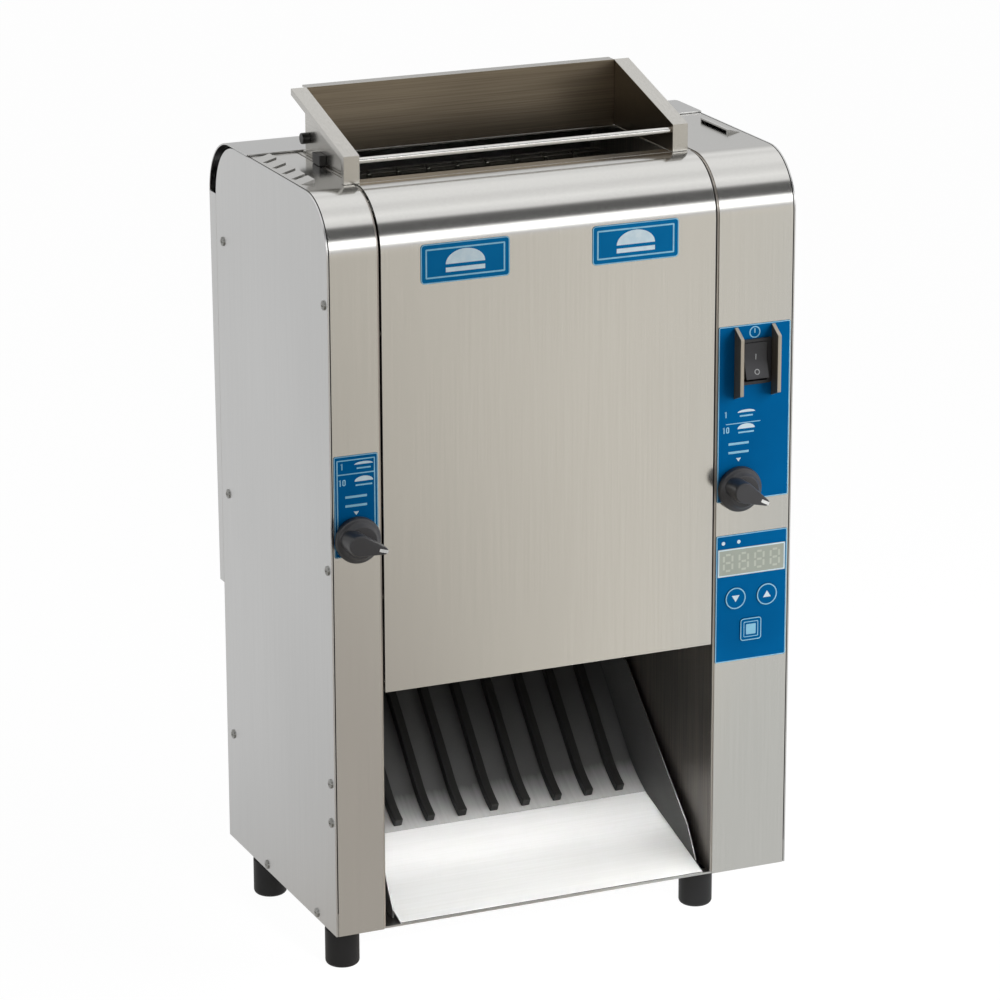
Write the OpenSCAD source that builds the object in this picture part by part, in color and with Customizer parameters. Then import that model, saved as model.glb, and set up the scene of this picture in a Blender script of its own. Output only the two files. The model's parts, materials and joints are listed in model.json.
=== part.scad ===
// Vertical contact toaster: two driven wire belts carry bread halves past one heated platen,
// drop them on a curved slide and out of the mouth at the bottom of the front.
// Lengths are in millimetres. +Z is up, the front faces -Y and +X is to the right.
// The origin is on the floor under the middle of the whole machine.

/* [Housing] */
// Width over the two side panels
body_w = 375; // [350:1:450]
// Depth of the side panels
body_d = 230; // [222:1:280]
// Height of the side panels above the base
body_h = 563; // [540:1:640]
// Width of the left tower, which holds the rear belt's adjuster
left_tower_w = 40; // [38:0.5:48]
// Width of the right tower, which holds the drive and the controls
right_tower_w = 64.5; // [62:0.5:80]
// Outer radius of the bends at the top front and top rear
bend_r = 43; // [30:1:50]
// Thickness of the outer sheets
sheet = 1.2; // [0.8:0.1:1.5]
// Thickness of the inner walls and the base
wall = 1.5; // [1.2:0.1:2]
// Depth of the dark seam between a tower and the front cover
seam_inset = 0.8; // [0.2:0.1:1.5]
// Gap between the front cover's edges and the inner walls
cover_gap = 1.5; // [0.5:0.1:1.6]
// Gap between a side panel and the tower sheet beside it
side_gap = 0.8; // [0.4:0.1:1]
// Gap between parts that only rest on each other
seat_gap = 0.2; // [0.1:0.05:0.3]

/* [Feet and fasteners] */
// Height of a foot
foot_h = 31; // [20:1:45]
// Diameter of a foot
foot_d = 26; // [20:1:34]
// Radius of the rounded foot edge
foot_edge = 4; // [1:0.5:6]
// Inset of the left feet from the left side
foot_in = 13; // [12:0.5:20]
// Place of the front feet behind the front face
front_foot_y = 22; // [18:1:40]
// Place of the rear feet behind the front face
rear_foot_y = 175; // [150:1:205]
// Radius of a panel screw's head
head_r = 3.6; // [2.5:0.1:4.5]
// Height of a panel screw's head
head_h = 1.8; // [1:0.1:2.5]
// Radius of a panel screw's shank
shank_r = 1.9; // [1.2:0.1:2.2]

/* [Front cover] */
// Height of the front cover's lower edge above the base
cover_bottom = 188; // [175:1:205]
// Depth of the front cover's side flanges
cover_flange = 13; // [10:0.5:14]
// Radius of the studs that carry the front cover
stud_r = 3; // [2:0.1:4]
// Width of a printed plate on the front cover
plate_w = 70; // [50:1:90]
// Height of such a plate
plate_h = 29.5; // [20:0.5:40]
// Distance of the plates' middles below the top
plate_drop = 53; // [45:1:70]
// Distance between the two plates' middles
plate_pitch = 136; // [110:1:150]
// Thickness of every printed plate
label_t = 0.4; // [0.2:0.05:0.6]

/* [Rear cover] */
// How far the rear cover stands off the side panels at its top
rear_proud_top = 13; // [9:0.5:18]
// How far it stands off at its lower edge
rear_proud_low = 8; // [6:0.5:9]
// Height of its lower edge above the base
rear_cover_low = 210; // [180:1:240]
// Place of its upper edge behind the front face
rear_cover_lip = 161; // [161:1:170]

/* [Belts and platen] */
// Place of the front belt's drive shaft behind the front face
front_shaft_y = 37; // [35:0.5:45]
// Distance of the drive shafts below the top
drive_drop = 43; // [40:1:60]
// Distance between a belt's drive roller and its return roller
belt_run = 278; // [240:1:285]
// Radius of the rollers
roller_r = 20.5; // [16:0.5:21]
// Thickness of a wire belt
belt_t = 1.2; // [0.8:0.1:2]
// Gap between a roller and the belt on it
belt_slack = 0.3; // [0.2:0.05:0.5]
// Radius of the drive shafts
shaft_r = 6; // [4:0.25:7]
// Radius of the return rollers' axles
axle_r = 5; // [3:0.25:6]
// Clearance of a shaft that turns in a bore
run_fit = 0.05; // [0.02:0.01:0.08]
// Width of the front lane, for the crowns
front_lane = 33; // [26:0.5:36]
// Width of the rear lane, for the heels
rear_lane = 31; // [24:0.5:34]
// Thickness of the heated platen
platen_t = 24; // [18:0.5:28]
// Height of the platen
platen_h = 295; // [250:1:300]
// Radius of a heating rod
heater_r = 4; // [3:0.25:6]
// Space between the left inner wall and the belts
left_clear = 9.5; // [9:0.25:12]
// Space between the right inner wall and the belts
right_clear = 19; // [18:0.25:24]
// Thickness of the belt frames' plates
frame_t = 2; // [1.5:0.1:2.5]
// Width of the belt frames' plates
frame_w = 30; // [24:1:34]
// Radius of the pins that swing the belt frames
swing_pin_r = 4; // [3:0.25:5]
// Distance of those pins below the dials' axes, which is the reach of the adjusting nuts
nut_arm = 14; // [12:0.5:20]
// Room that a swing pin has in its wall, each way
swing_room = 7; // [6:0.5:9]

/* [Drive] */
// Teeth of the four large gears
gear_teeth = 22; // [22:2:26]
// Teeth of the motor's pinion
pinion_teeth = 14; // [14:4:18]
// Face width of the gears
gear_w = 8; // [6:0.5:9]
// Gap between the right inner wall and the gears
gear_off = 3.5; // [3:0.25:5]
// Play between meshed teeth at the pitch circle
backlash = 0.25; // [0.15:0.05:0.4]
// Thickness of the motor's gearbox
gearbox_t = 17.5; // [14:0.5:20]
// Radius of the motor's can
motor_r = 22; // [16:0.5:22]

/* [Hopper] */
// Gap from the left inner wall to the hopper's inside
hopper_left_in = 4; // [3:0.25:6]
// Gap from the right inner wall to the hopper's inside
hopper_right_in = 16; // [14:0.5:18]
// Thickness of the hopper's sheets
hopper_t = 1.5; // [1.2:0.1:2]
// Width of the hopper's folded edges
hopper_fold = 11; // [10:0.5:13]
// Depth of the lips that turn back from those folds
hopper_lip = 5; // [3:0.5:7]
// Height of the hopper's front ends above the top
hopper_front_h = 21; // [18:0.5:26]
// Height of the hopper's back above the top
hopper_back_h = 51; // [35:1:60]
// Length of the hopper's sides in front of the throat
hopper_lead = 13; // [11:0.5:14]
// Radius of the hopper's front rod
rod_r = 2.25; // [1.5:0.25:3]

/* [Chute] */
// Slope of the landing tray in degrees
tray_slope = 16; // [12:0.5:18]
// Slope of the slide in degrees
slide_slope = 47; // [42:0.5:48]
// Radius of the bend between the two
chute_bend = 90; // [80:1:95]
// Length of the straight tray
tray_len = 98.3; // [85:0.5:100]
// Length of the straight slide
slide_len = 101; // [80:1:102]
// Height of the tray's front edge above the base
tray_lip = 3; // [3:0.5:7]
// Gap between the chute and the left inner wall
chute_left_gap = 11; // [2:0.5:14]
// Gap between the chute and the right inner wall
chute_right_gap = 5; // [2:0.5:10]
// Number of ribs on the slide
rib_count = 9; // [5:1:11]
// Distance from rib to rib
rib_pitch = 27; // [22:0.5:27]
// Width of a rib
rib_w = 7; // [4:0.5:10]
// Height of a rib
rib_h = 7; // [4:0.5:9]

/* [Controls] */
// Height of the two dials above the base
knob_z = 310; // [305:0.5:318]
// Diameter of a dial's skirt
knob_d = 35; // [28:0.5:35]
// How far a dial stands out of its tower
knob_proud = 25; // [20:0.5:30]
// Distance of the right dial from the right inner wall's inside
right_knob_in = 19.5; // [19.5:0.5:24]
// Turn of the left dial's pointer below level, in degrees
left_pointer = 17; // [0:1:45]
// Turn of the right dial's pointer below level, in degrees
right_pointer = 28; // [0:1:45]
// Radius of the adjusting screws
screw_r = 5; // [4:0.25:5.5]
// Height of the rocker switch above the base
switch_z = 408; // [400:1:408]
// Width of the switch's body
switch_w = 25.5; // [24:0.5:25.5]
// Height of the switch's body
switch_h = 32; // [32:0.5:40]
// Tilt of the rocker each way, in degrees
rocker_tilt = 8; // [5:0.5:10]
// Depth of the guards beside the switch
guard_d = 11.5; // [8:0.5:16]
// Height of those guards
guard_h = 55.5; // [44:0.5:57]
// Thickness of the guards
guard_t = 3; // [2:0.25:3.5]
// Distance from a guard's middle to the switch's middle
guard_x = 15.5; // [15.5:0.25:18]
// Height of the keypad's arrow keys above the base
key_z = 222.5; // [220:0.5:224]
// Radius of an arrow key
key_r = 8.6; // [6:0.1:9]
// Distance from an arrow key to the keypad's middle
key_x = 13.3; // [12:0.1:14]
// Side of the square key
square_key = 18; // [14:0.5:19]
// Travel of a key
key_travel = 0.6; // [0.3:0.1:0.8]

/* [Hidden] */
$fn = 64;

// Colours as the photograph shows them
steel = [0.71, 0.70, 0.67];
side_steel = [0.74, 0.74, 0.74];
dark_steel = [0.35, 0.35, 0.34];
bright_steel = [0.93, 0.93, 0.93];
black = [0.14, 0.14, 0.15];
blue = [0.0, 0.37, 0.62];
brass = [0.72, 0.58, 0.30];
alloy = [0.62, 0.62, 0.62];
glass_grey = [0.73, 0.74, 0.69];
board_green = [0.10, 0.32, 0.20];

// Small overlap that makes cuts run past a face
past = 1;
// Least flat that is left between two round corners
least_flat = 0.01;
// Gap round a piece that is let into a plate
edge_gap = 0.2;

// Sideways places
left_x = -body_w / 2;
right_x = body_w / 2;
left_in = left_x + left_tower_w;
right_in = right_x - right_tower_w;
bay_mid = (left_in + right_in) / 2;
belt_l = left_in + left_clear;
belt_r = right_in - right_clear;
frame_gap = 2;
frame_l = belt_l - frame_gap - frame_t;
frame_r = belt_r + frame_gap;
panel_x = right_x - (right_tower_w + sheet) / 2;

// Depths behind the front face
loop_half = roller_r + belt_slack + belt_t;
platen_y = front_shaft_y + loop_half + front_lane;
rear_shaft_y = platen_y + platen_t + rear_lane + loop_half;
throat_edge = 1;
throat_y0 = front_shaft_y + loop_half - throat_edge;
throat_y1 = rear_shaft_y - loop_half + throat_edge;
cover_top_back = 12;
cover_top_end = throat_y0 - cover_top_back;
lip_lap = 2;
top_end = rear_cover_lip + lip_lap;
rear_bend_y = body_d - bend_r + rear_proud_top;
rear_out = rear_bend_y + bend_r + sheet;
front_y = (knob_proud - rear_out) / 2;

// Heights above the base
drive_z = body_h - drive_drop;
return_z = drive_z - belt_run;
swing_z = knob_z - nut_arm;
platen_rise = 10;
platen_z = drive_z + platen_rise - platen_h;
bend_z = body_h - bend_r;

// Gear train: the two middle gears fill the distance between the drive shafts
gear_m = (rear_shaft_y - front_shaft_y) / (3 * gear_teeth);
gear_pitch = gear_m * gear_teeth;
gear_x = right_in + wall + gear_off;
pinion_y = front_shaft_y + gear_pitch;
pinion_z = drive_z - gear_m * (gear_teeth + pinion_teeth) / 2;
press_angle = 20;
tip_share = 0.8;
root_share = 1.05;
addendum = tip_share * gear_m;
dedendum = root_share * gear_m;

// Frame of the housing: front face at Y zero, underside of the base at Z zero
module in_body() {
    translate([0, front_y, foot_h])
        children();
}

// Extrudes a drawing of depths and heights from x0 to x1
module slab_x(x0, x1) {
    translate([x0, 0, 0])
        rotate([90, 0, 90])
            linear_extrude(x1 - x0)
                children();
}

// Extrudes a drawing of widths and heights from depth y0 to y1
module slab_y(y0, y1) {
    translate([0, y1, 0])
        rotate([90, 0, 0])
            linear_extrude(y1 - y0)
                children();
}

// Extrudes a drawing of widths and depths from height z0 to z1
module slab_z(z0, z1) {
    translate([0, 0, z0])
        linear_extrude(z1 - z0)
            children();
}

// Rectangle given by two opposite corners
module box2(a, b) {
    translate(a)
        square(b - a);
}

// Block given by two opposite corners
module block(a, b) {
    translate(a)
        cube(b - a);
}

// Disc at a place in a drawing
module disc(at, r) {
    translate(at)
        circle(r);
}

// Rectangle about a middle with round corners
module round_rect(at, size, r) {
    translate(at) {
        square([size[0] - 2 * r, size[1]], center = true);
        square([size[0], size[1] - 2 * r], center = true);
        for (sx = [-1, 1], sz = [-1, 1])
            disc([sx * (size[0] / 2 - r), sz * (size[1] / 2 - r)], r);
    }
}

// Outline of the side panels, drawn in by an inset
module body_outline(inset, low) {
    r = bend_r - inset;
    box2([inset, low], [body_d - inset, bend_z]);
    box2([bend_r, low], [body_d - bend_r, body_h - inset]);
    disc([bend_r, bend_z], r);
    disc([body_d - bend_r, bend_z], r);
}

// Section of a sheet that runs up the front, round the bend and back to a depth
module wrap_section(low, y_end) {
    difference() {
        intersection() {
            body_outline(0, 0);
            box2([0, low], [y_end, body_h]);
        }
        intersection() {
            body_outline(sheet, -past);
            box2([sheet, -past], [y_end + past, body_h]);
        }
    }
}

// Places of the side panels' screws as depths and heights
top_screw_drop = 34;
mid_screw_drop = 234;
low_screw_z = 89;
extra_screw_z = 120;
screw_rows = [bend_z - top_screw_drop, bend_z - mid_screw_drop, low_screw_z];
front_row_y = 7.5;
rear_row_in = 14;
rear_row_y = body_d - rear_row_in;
base_screw_z = 5;
base_screw_front = 40;
base_screw_rear = 84;
side_screws = concat(
    [for (z = screw_rows) [front_row_y, z]],
    [for (z = screw_rows) [rear_row_y, z]],
    [[front_row_y, extra_screw_z]],
    [for (y = [base_screw_front, body_d - base_screw_rear]) [y, base_screw_z]]);

// Places of the tie bars, midway between the rear belt and the rear sheet
tie_r = 5;
tie_y = (rear_shaft_y + loop_half + body_d - sheet) / 2;
low_tie_z = 60;
mid_tie_drop = 263;
top_tie_drop = 93;
tie_heights = [low_tie_z, body_h - mid_tie_drop, body_h - top_tie_drop];

// Base tray with side and rear flanges
base_flange = 18;
module base_pan() {
    x0 = left_x + sheet;
    x1 = right_x - sheet;
    y1 = body_d - sheet;
    color(steel)
        in_body()
            difference() {
                union() {
                    block([x0, sheet, 0], [x1, y1, wall]);
                    block([x0, sheet, 0], [x0 + wall, y1, base_flange]);
                    block([x1 - wall, sheet, 0], [x1, y1, base_flange]);
                    block([x0, y1 - wall, 0], [x1, y1, base_flange]);
                }
                slab_x(left_x - past, right_x + past)
                    for (p = side_screws)
                        if (p[1] == base_screw_z)
                            disc(p, shank_r);
                for (p = foot_places)
                    translate([p[0], p[1], -past])
                        cylinder(r = foot_stud_r, h = wall + 2 * past);
            }
}

// Rubber feet with rounded lower edges, each on a stud through the base
foot_stud_r = 3;
right_foot_in = 2;
foot_xs = [left_x + foot_in, right_in - right_foot_in];
foot_places = [for (x = foot_xs, y = [front_foot_y, rear_foot_y]) [x, y]];
module feet() {
    r = foot_d / 2;
    color(black)
        for (p = foot_places)
            in_body()
                translate([p[0], p[1], -foot_h]) {
                    rotate_extrude() {
                        square([r - foot_edge, foot_h]);
                        box2([0, foot_edge], [r, foot_h]);
                        intersection() {
                            disc([r - foot_edge, foot_edge], foot_edge);
                            square([r, foot_h]);
                        }
                    }
                    cylinder(r = foot_stud_r, h = foot_h + wall);
                }
}

// Flat side sheet with the bends' outline
module side_panel(x0) {
    color(side_steel)
        in_body()
            slab_x(x0, x0 + sheet)
                difference() {
                    body_outline(0, 0);
                    for (p = side_screws)
                        disc(p, shank_r);
                }
}
module left_side_panel() side_panel(left_x);
module right_side_panel() side_panel(right_x - sheet);

// Louvre in the top of a tower: a hood that rises from x towards the hopper, on side s of it
louvre_w = 11;
louvre_rise = 3;
louvre_in = 4;
left_louvres = 5;
left_louvre_len = 14;
left_louvre_pitch = 19.5;
left_louvre_lead = 2;
right_louvre_len = 46;
right_louvre_lead = 28;
module louvre_slot(x, s, y0, len) {
    a = x + s * sheet;
    b = x + s * louvre_w;
    slab_z(body_h - sheet - past, body_h + past)
        box2([min(a, b), y0 + sheet], [max(a, b), y0 + len - sheet]);
}
module louvre_hood(x, s, y0, len) {
    low = body_h - sheet / 2;
    high = body_h + louvre_rise;
    b = x + s * louvre_w;
    slab_y(y0, y0 + len)
        polygon([[x, low], [x, body_h], [b, high], [b, high - sheet]]);
    for (y = [y0, y0 + len - sheet])
        slab_y(y, y + sheet)
            polygon([[x, low], [x, body_h], [b, high], [b, low]]);
}

// Tower sheet that runs up the front and over the top, with a flange beside the side panel
tower_flange = 15;
flange_rise = 1;
flange_z = base_flange + flange_rise;
module tower_wrap(x0, x1, flange_x) {
    slab_x(x0, x1)
        wrap_section(0, top_end);
    difference() {
        block([flange_x, sheet, flange_z], [flange_x + sheet, tower_flange, bend_z]);
        slab_x(flange_x - past, flange_x + sheet + past)
            for (p = side_screws)
                disc(p, shank_r);
    }
}

// Radius of the bushes in the tower fronts
bush_wall = 3;
bush_r = screw_r + bush_wall;
left_knob_x = left_x + left_tower_w / 2;
right_knob_x = right_in + right_knob_in;
left_louvre_y0 = throat_y0 + left_louvre_lead;
left_louvre_ys = [for (i = [0 : left_louvres - 1]) left_louvre_y0 + i * left_louvre_pitch];
right_louvre_y = throat_y0 + right_louvre_lead;
module left_tower_shell() {
    color(steel)
        in_body() {
            difference() {
                tower_wrap(left_x + sheet + side_gap, left_in - wall, left_x + sheet + side_gap);
                slab_y(-past, sheet + past)
                    disc([left_knob_x, knob_z], bush_r);
                for (y = left_louvre_ys)
                    louvre_slot(left_x + louvre_in, 1, y, left_louvre_len);
            }
            for (y = left_louvre_ys)
                louvre_hood(left_x + louvre_in, 1, y, left_louvre_len);
        }
}

// Openings of the controls in the right tower
window_w = 57;
window_h = 22;
window_z = 251.5;
window_rim = 3;
square_key_z = 196.3;
key_gap = 0.3;
key_corner = 3;
switch_corner = 1;
module key_holes(gap) {
    for (s = [-1, 1])
        disc([panel_x + s * key_x, key_z], key_r + gap);
    round_rect([panel_x, square_key_z], [square_key + 2 * gap, square_key + 2 * gap], key_corner);
}
module right_tower_shell() {
    x1 = right_x - sheet - side_gap;
    color(steel)
        in_body() {
            difference() {
                tower_wrap(right_in + wall, x1, x1 - sheet);
                slab_y(-past, sheet + past) {
                    disc([right_knob_x, knob_z], bush_r);
                    round_rect([panel_x, switch_z], [switch_w, switch_h], switch_corner);
                    key_holes(key_gap);
                    square_window = [window_w - 2 * window_rim, window_h - 2 * window_rim];
                    translate([panel_x, window_z])
                        square(square_window, center = true);
                }
                louvre_slot(right_x - louvre_in, -1, right_louvre_y, right_louvre_len);
            }
            louvre_hood(right_x - louvre_in, -1, right_louvre_y, right_louvre_len);
        }
}

// Inner wall between a tower and the belts, with what both walls have
low_stud_rise = 72;
top_stud_drop = 60;
stud_heights = [cover_bottom + low_stud_rise, bend_z - top_stud_drop];
stud_y = 9;
stud_len = 3;
module wall_outline() {
    difference() {
        intersection() {
            body_outline(seam_inset, wall);
            box2([0, wall], [body_d - sheet - wall, body_h]);
        }
        for (y = [front_shaft_y, rear_shaft_y])
            disc([y, drive_z], shaft_bush_r);
        for (z = tie_heights)
            disc([tie_y, z], tie_r);
    }
}

// Slot in which a swing pin moves, for the belt whose shaft is at depth y
swing_slot_play = 3;
module swing_slot(y) {
    size = [2 * (swing_pin_r + swing_room), 2 * swing_pin_r + swing_slot_play];
    round_rect([y, swing_z], size, swing_pin_r);
}
module left_inner_wall() {
    color(side_steel)
        in_body() {
            slab_x(left_in - wall, left_in)
                difference() {
                    wall_outline();
                    swing_slot(rear_shaft_y);
                }
            slab_x(left_in, left_in + stud_len)
                for (z = stud_heights)
                    disc([stud_y, z], stud_r);
        }
}

// The right wall also carries the studs of the two middle gears
idler_stud_r = 5;
idler_collar_r = 8;
gear_gap = 0.3;
module right_inner_wall() {
    x1 = right_in + wall;
    color(side_steel)
        in_body() {
            slab_x(right_in, x1)
                difference() {
                    wall_outline();
                    swing_slot(front_shaft_y);
                }
            slab_x(right_in - stud_len, right_in)
                for (z = stud_heights)
                    disc([stud_y, z], stud_r);
            for (i = [1, 2]) {
                at = [front_shaft_y + i * gear_pitch, drive_z];
                slab_x(x1, gear_x - gear_gap)
                    disc(at, idler_collar_r);
                slab_x(x1, gear_x + gear_w + gear_gap)
                    disc(at, idler_stud_r);
            }
        }
}

// Plate round the throat, on which the hopper stands
top_plate_gap = 0.5;
module top_plate() {
    color(steel)
        in_body()
            slab_z(body_h - wall, body_h)
                difference() {
                    box2([left_in, cover_top_end + top_plate_gap], [right_in, top_end]);
                    box2([left_in + hopper_left_in, throat_y0], [right_in - hopper_right_in, throat_y1]);
                }
}

// Bars that hold the two inner walls apart
module tie_bars() {
    color(alloy)
        in_body()
            slab_x(left_in - wall, right_in + wall)
                for (z = tie_heights)
                    disc([tie_y, z], tie_r);
}

// Angle posts behind the side panels, for the rear screws
post_w = 20;
post_y1 = body_d - sheet;
module rear_posts() {
    color(dark_steel)
        in_body()
            for (s = [-1, 1]) {
                x0 = s * (right_x - sheet);
                a = min(x0, x0 - s * wall);
                b = min(x0, x0 - s * post_w);
                difference() {
                    union() {
                        block([a, post_y1 - post_w, flange_z], [a + wall, post_y1, bend_z]);
                        block([b, post_y1 - wall, flange_z], [b + post_w, post_y1, bend_z]);
                    }
                    slab_x(a - past, a + wall + past)
                        for (p = side_screws)
                            disc(p, shank_r);
                }
            }
}

// Lower rear sheet with the cord's hole and a row of cooling slots
gland_r = 9;
gland_side = 8;
gland_x = panel_x - gland_side;
gland_z = 62;
rear_panel_lap = 5;
rear_panel_h = rear_cover_low + rear_panel_lap;
rear_slots = 12;
rear_slot_pitch = 18;
rear_slot_z = 85;
rear_slot_w = 5;
rear_slot_h = 50;
module rear_lower_panel() {
    color(side_steel)
        in_body()
            slab_y(body_d - sheet, body_d)
                difference() {
                    box2([left_x + sheet, 0], [right_x - sheet, rear_panel_h]);
                    disc([gland_x, gland_z], gland_r);
                    for (i = [0 : rear_slots - 1])
                        round_rect([bay_mid + (i - (rear_slots - 1) / 2) * rear_slot_pitch, rear_slot_z],
                            [rear_slot_w, rear_slot_h], rear_slot_w / 2 - least_flat);
                }
}

// Pan-head screws of both side panels
screw_in = 4;
head_taper = 0.7;
module panel_screws() {
    color(alloy)
        in_body()
            for (s = [-1, 1], p = side_screws)
                translate([s * right_x, p[0], p[1]])
                    rotate([0, s * 90, 0]) {
                        cylinder(r1 = head_r, r2 = head_r * head_taper, h = head_h);
                        translate([0, 0, -screw_in])
                            cylinder(r = shank_r, h = screw_in);
                    }
}

// Gland through which the mains lead enters, with its inner nut
gland_bore_r = 4.5;
gland_nose = 11;
gland_taper = 2;
gland_rim = 4;
gland_rim_t = 3;
gland_back = 8;
gland_nut_t = 6;
module cord_gland() {
    color(black)
        in_body()
            translate([gland_x, body_d, gland_z])
                rotate([-90, 0, 0])
                    difference() {
                        union() {
                            cylinder(r = gland_r + gland_rim, h = gland_rim_t);
                            cylinder(r1 = gland_r, r2 = gland_r - gland_taper, h = gland_nose);
                            translate([0, 0, -sheet - gland_back])
                                cylinder(r = gland_r, h = sheet + gland_back);
                            translate([0, 0, -sheet - gland_nut_t])
                                cylinder(r = gland_r + gland_rim, h = gland_nut_t, $fn = 6);
                        }
                        translate([0, 0, -sheet - gland_back - past])
                            cylinder(r = gland_bore_r, h = gland_nose + sheet + gland_back + 2 * past);
                    }
}

// Heated aluminium platen between the two lanes
heater_rows = [0.14, 0.38, 0.62, 0.86];
platen_mid = platen_y + platen_t / 2;
heater_fit = 0.05;
module heater_places() {
    for (k = heater_rows)
        translate([platen_mid, platen_z + k * platen_h])
            children();
}
module platen() {
    color(alloy)
        in_body()
            slab_x(belt_l, belt_r)
                difference() {
                    box2([platen_y, platen_z], [platen_y + platen_t, platen_z + platen_h]);
                    heater_places()
                        circle(heater_r + heater_fit);
                }
}

// Heating rods in the platen, with their terminals at the right
heater_out = 9;
heater_in = 2;
terminal_len = 5;
module heating_elements() {
    color(dark_steel)
        in_body() {
            slab_x(belt_l + heater_in, belt_r + heater_out)
                heater_places()
                    circle(heater_r);
            slab_x(belt_r + heater_out, belt_r + heater_out + terminal_len)
                heater_places()
                    circle(heater_r / 2);
        }
}

// Spacers that carry the platen between the inner walls
spacer_r = 6;
spacer_rows = [0.05, 0.5, 0.95];
module platen_spacers() {
    color(alloy)
        in_body()
            for (k = spacer_rows) {
                at = [platen_mid, platen_z + k * platen_h];
                slab_x(left_in, belt_l)
                    disc(at, spacer_r);
                slab_x(belt_r, right_in)
                    disc(at, spacer_r);
            }
}

// Flanged bushes of the drive shafts in the inner walls
shaft_bush_r = shaft_r + bush_wall;
bush_flange = 2;
bush_lap = 3;
module shaft_bushes() {
    color(brass)
        in_body()
            for (y = [front_shaft_y, rear_shaft_y])
                difference() {
                    union() {
                        slab_x(left_in - wall, left_in)
                            disc([y, drive_z], shaft_bush_r);
                        slab_x(left_in - wall - bush_flange, left_in - wall)
                            disc([y, drive_z], shaft_bush_r + bush_lap);
                        slab_x(right_in, right_in + wall)
                            disc([y, drive_z], shaft_bush_r);
                        slab_x(right_in + wall, right_in + wall + bush_flange)
                            disc([y, drive_z], shaft_bush_r + bush_lap);
                    }
                    slab_x(left_x, right_x)
                        disc([y, drive_z], shaft_r + run_fit);
                }
}

// Bushes of the adjusting screws in the tower fronts, and the left screw's rear block
bush_back = 8;
bush_collar_t = 3;
rear_block_back = 16;
rear_block_y = rear_shaft_y + rear_block_back;
rear_block_t = 8;
rear_block_side = 10;
rear_block_half = 12;
module screw_bushes() {
    color(brass)
        in_body() {
            for (x = [left_knob_x, right_knob_x])
                slab_y(0, sheet + bush_back)
                    difference() {
                        disc([x, knob_z], bush_r);
                        disc([x, knob_z], screw_r + run_fit);
                    }
            for (x = [left_knob_x, right_knob_x])
                slab_y(sheet, sheet + bush_collar_t)
                    difference() {
                        disc([x, knob_z], bush_r + bush_lap);
                        disc([x, knob_z], screw_r + run_fit);
                    }
            slab_y(rear_block_y, rear_block_y + rear_block_t)
                difference() {
                    box2([left_knob_x - rear_block_side, knob_z - rear_block_half],
                        [left_in - wall, knob_z + rear_block_half]);
                    disc([left_knob_x, knob_z], screw_r + run_fit);
                }
        }
}

// Motor with its flat gearbox on four pillars
gearbox_gap = 2.5;
gearbox_x = gear_x + gear_w + gearbox_gap;
gearbox_w = 62;
gearbox_h = 54;
gearbox_corner = 6;
gearbox_floor = 2;
gearbox_drop = 38;
gearbox_z0 = pinion_z - gearbox_drop;
pinion_shaft_r = 3;
pillar_r = 4;
pillar_in = 7;
low_pillar = 9;
top_pillar = 10;
motor_gap = 3;
module gear_motor() {
    color(dark_steel)
        in_body() {
            difference() {
                union() {
                    slab_x(gearbox_x, gearbox_x + gearbox_t)
                        round_rect([pinion_y, gearbox_z0 + gearbox_h / 2], [gearbox_w, gearbox_h],
                            gearbox_corner);
                    for (sy = [-1, 1], dz = [low_pillar, gearbox_h - top_pillar])
                        slab_x(right_in + wall, gearbox_x)
                            disc([pinion_y + sy * (gearbox_w / 2 - pillar_in), gearbox_z0 + dz], pillar_r);
                    slab_x(gearbox_x + gearbox_t, right_x - sheet - motor_gap)
                        disc([pinion_y, gearbox_z0 + gearbox_h / 2], motor_r);
                }
                slab_x(gearbox_x - past, gearbox_x + gearbox_t - gearbox_floor)
                    disc([pinion_y, pinion_z], pinion_shaft_r + run_fit);
            }
        }
}

// Rocker switch: bezel and body with the well that the rocker tips in
bezel_out = 2;
bezel_rim = 1.5;
switch_back = 26;
rocker_w = 19;
rocker_h = 27.5;
rocker_y = 5;
rocker_front = 10;
rocker_fit = 0.6;
rocker_pin_r = 2;
rocker_pin_len = 2;
rocker_back = 5;
rocker_cut = 2;
rocker_dish = 2.5;
pin_end_gap = 0.3;
pin_reach_x = rocker_w / 2 + rocker_pin_len;
well_room = 2.6;
well_h = rocker_h + well_room;
well_back = 14;
bezel_corner = 2;
module switch_body() {
    color(black)
        in_body()
            difference() {
                union() {
                    slab_y(-bezel_out, 0)
                        round_rect([panel_x, switch_z], [switch_w + bezel_rim, switch_h + 2 * bezel_rim],
                            bezel_corner);
                    slab_y(0, switch_back)
                        round_rect([panel_x, switch_z], [switch_w, switch_h], switch_corner);
                }
                block([panel_x - rocker_w / 2 - rocker_fit, -bezel_out - past, switch_z - well_h / 2],
                    [panel_x + rocker_w / 2 + rocker_fit, well_back, switch_z + well_h / 2]);
                slab_x(panel_x - pin_reach_x - pin_end_gap, panel_x + pin_reach_x + pin_end_gap)
                    disc([rocker_y, switch_z], rocker_pin_r + run_fit);
            }
}

// Rocker tipped to one side, on two trunnions
module switch_rocker() {
    half = rocker_h / 2;
    color(black)
        in_body()
            translate([panel_x, rocker_y, switch_z])
                rotate([-rocker_tilt, 0, 0]) {
                    slab_x(-rocker_w / 2, rocker_w / 2)
                        polygon([[-rocker_front, half], [rocker_cut, half - rocker_cut], [rocker_back, 0],
                            [rocker_cut, rocker_cut - half], [-rocker_front, -half],
                            [rocker_dish - rocker_front, 0]]);
                    slab_x(-pin_reach_x, pin_reach_x)
                        circle(rocker_pin_r);
                }
}

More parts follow.
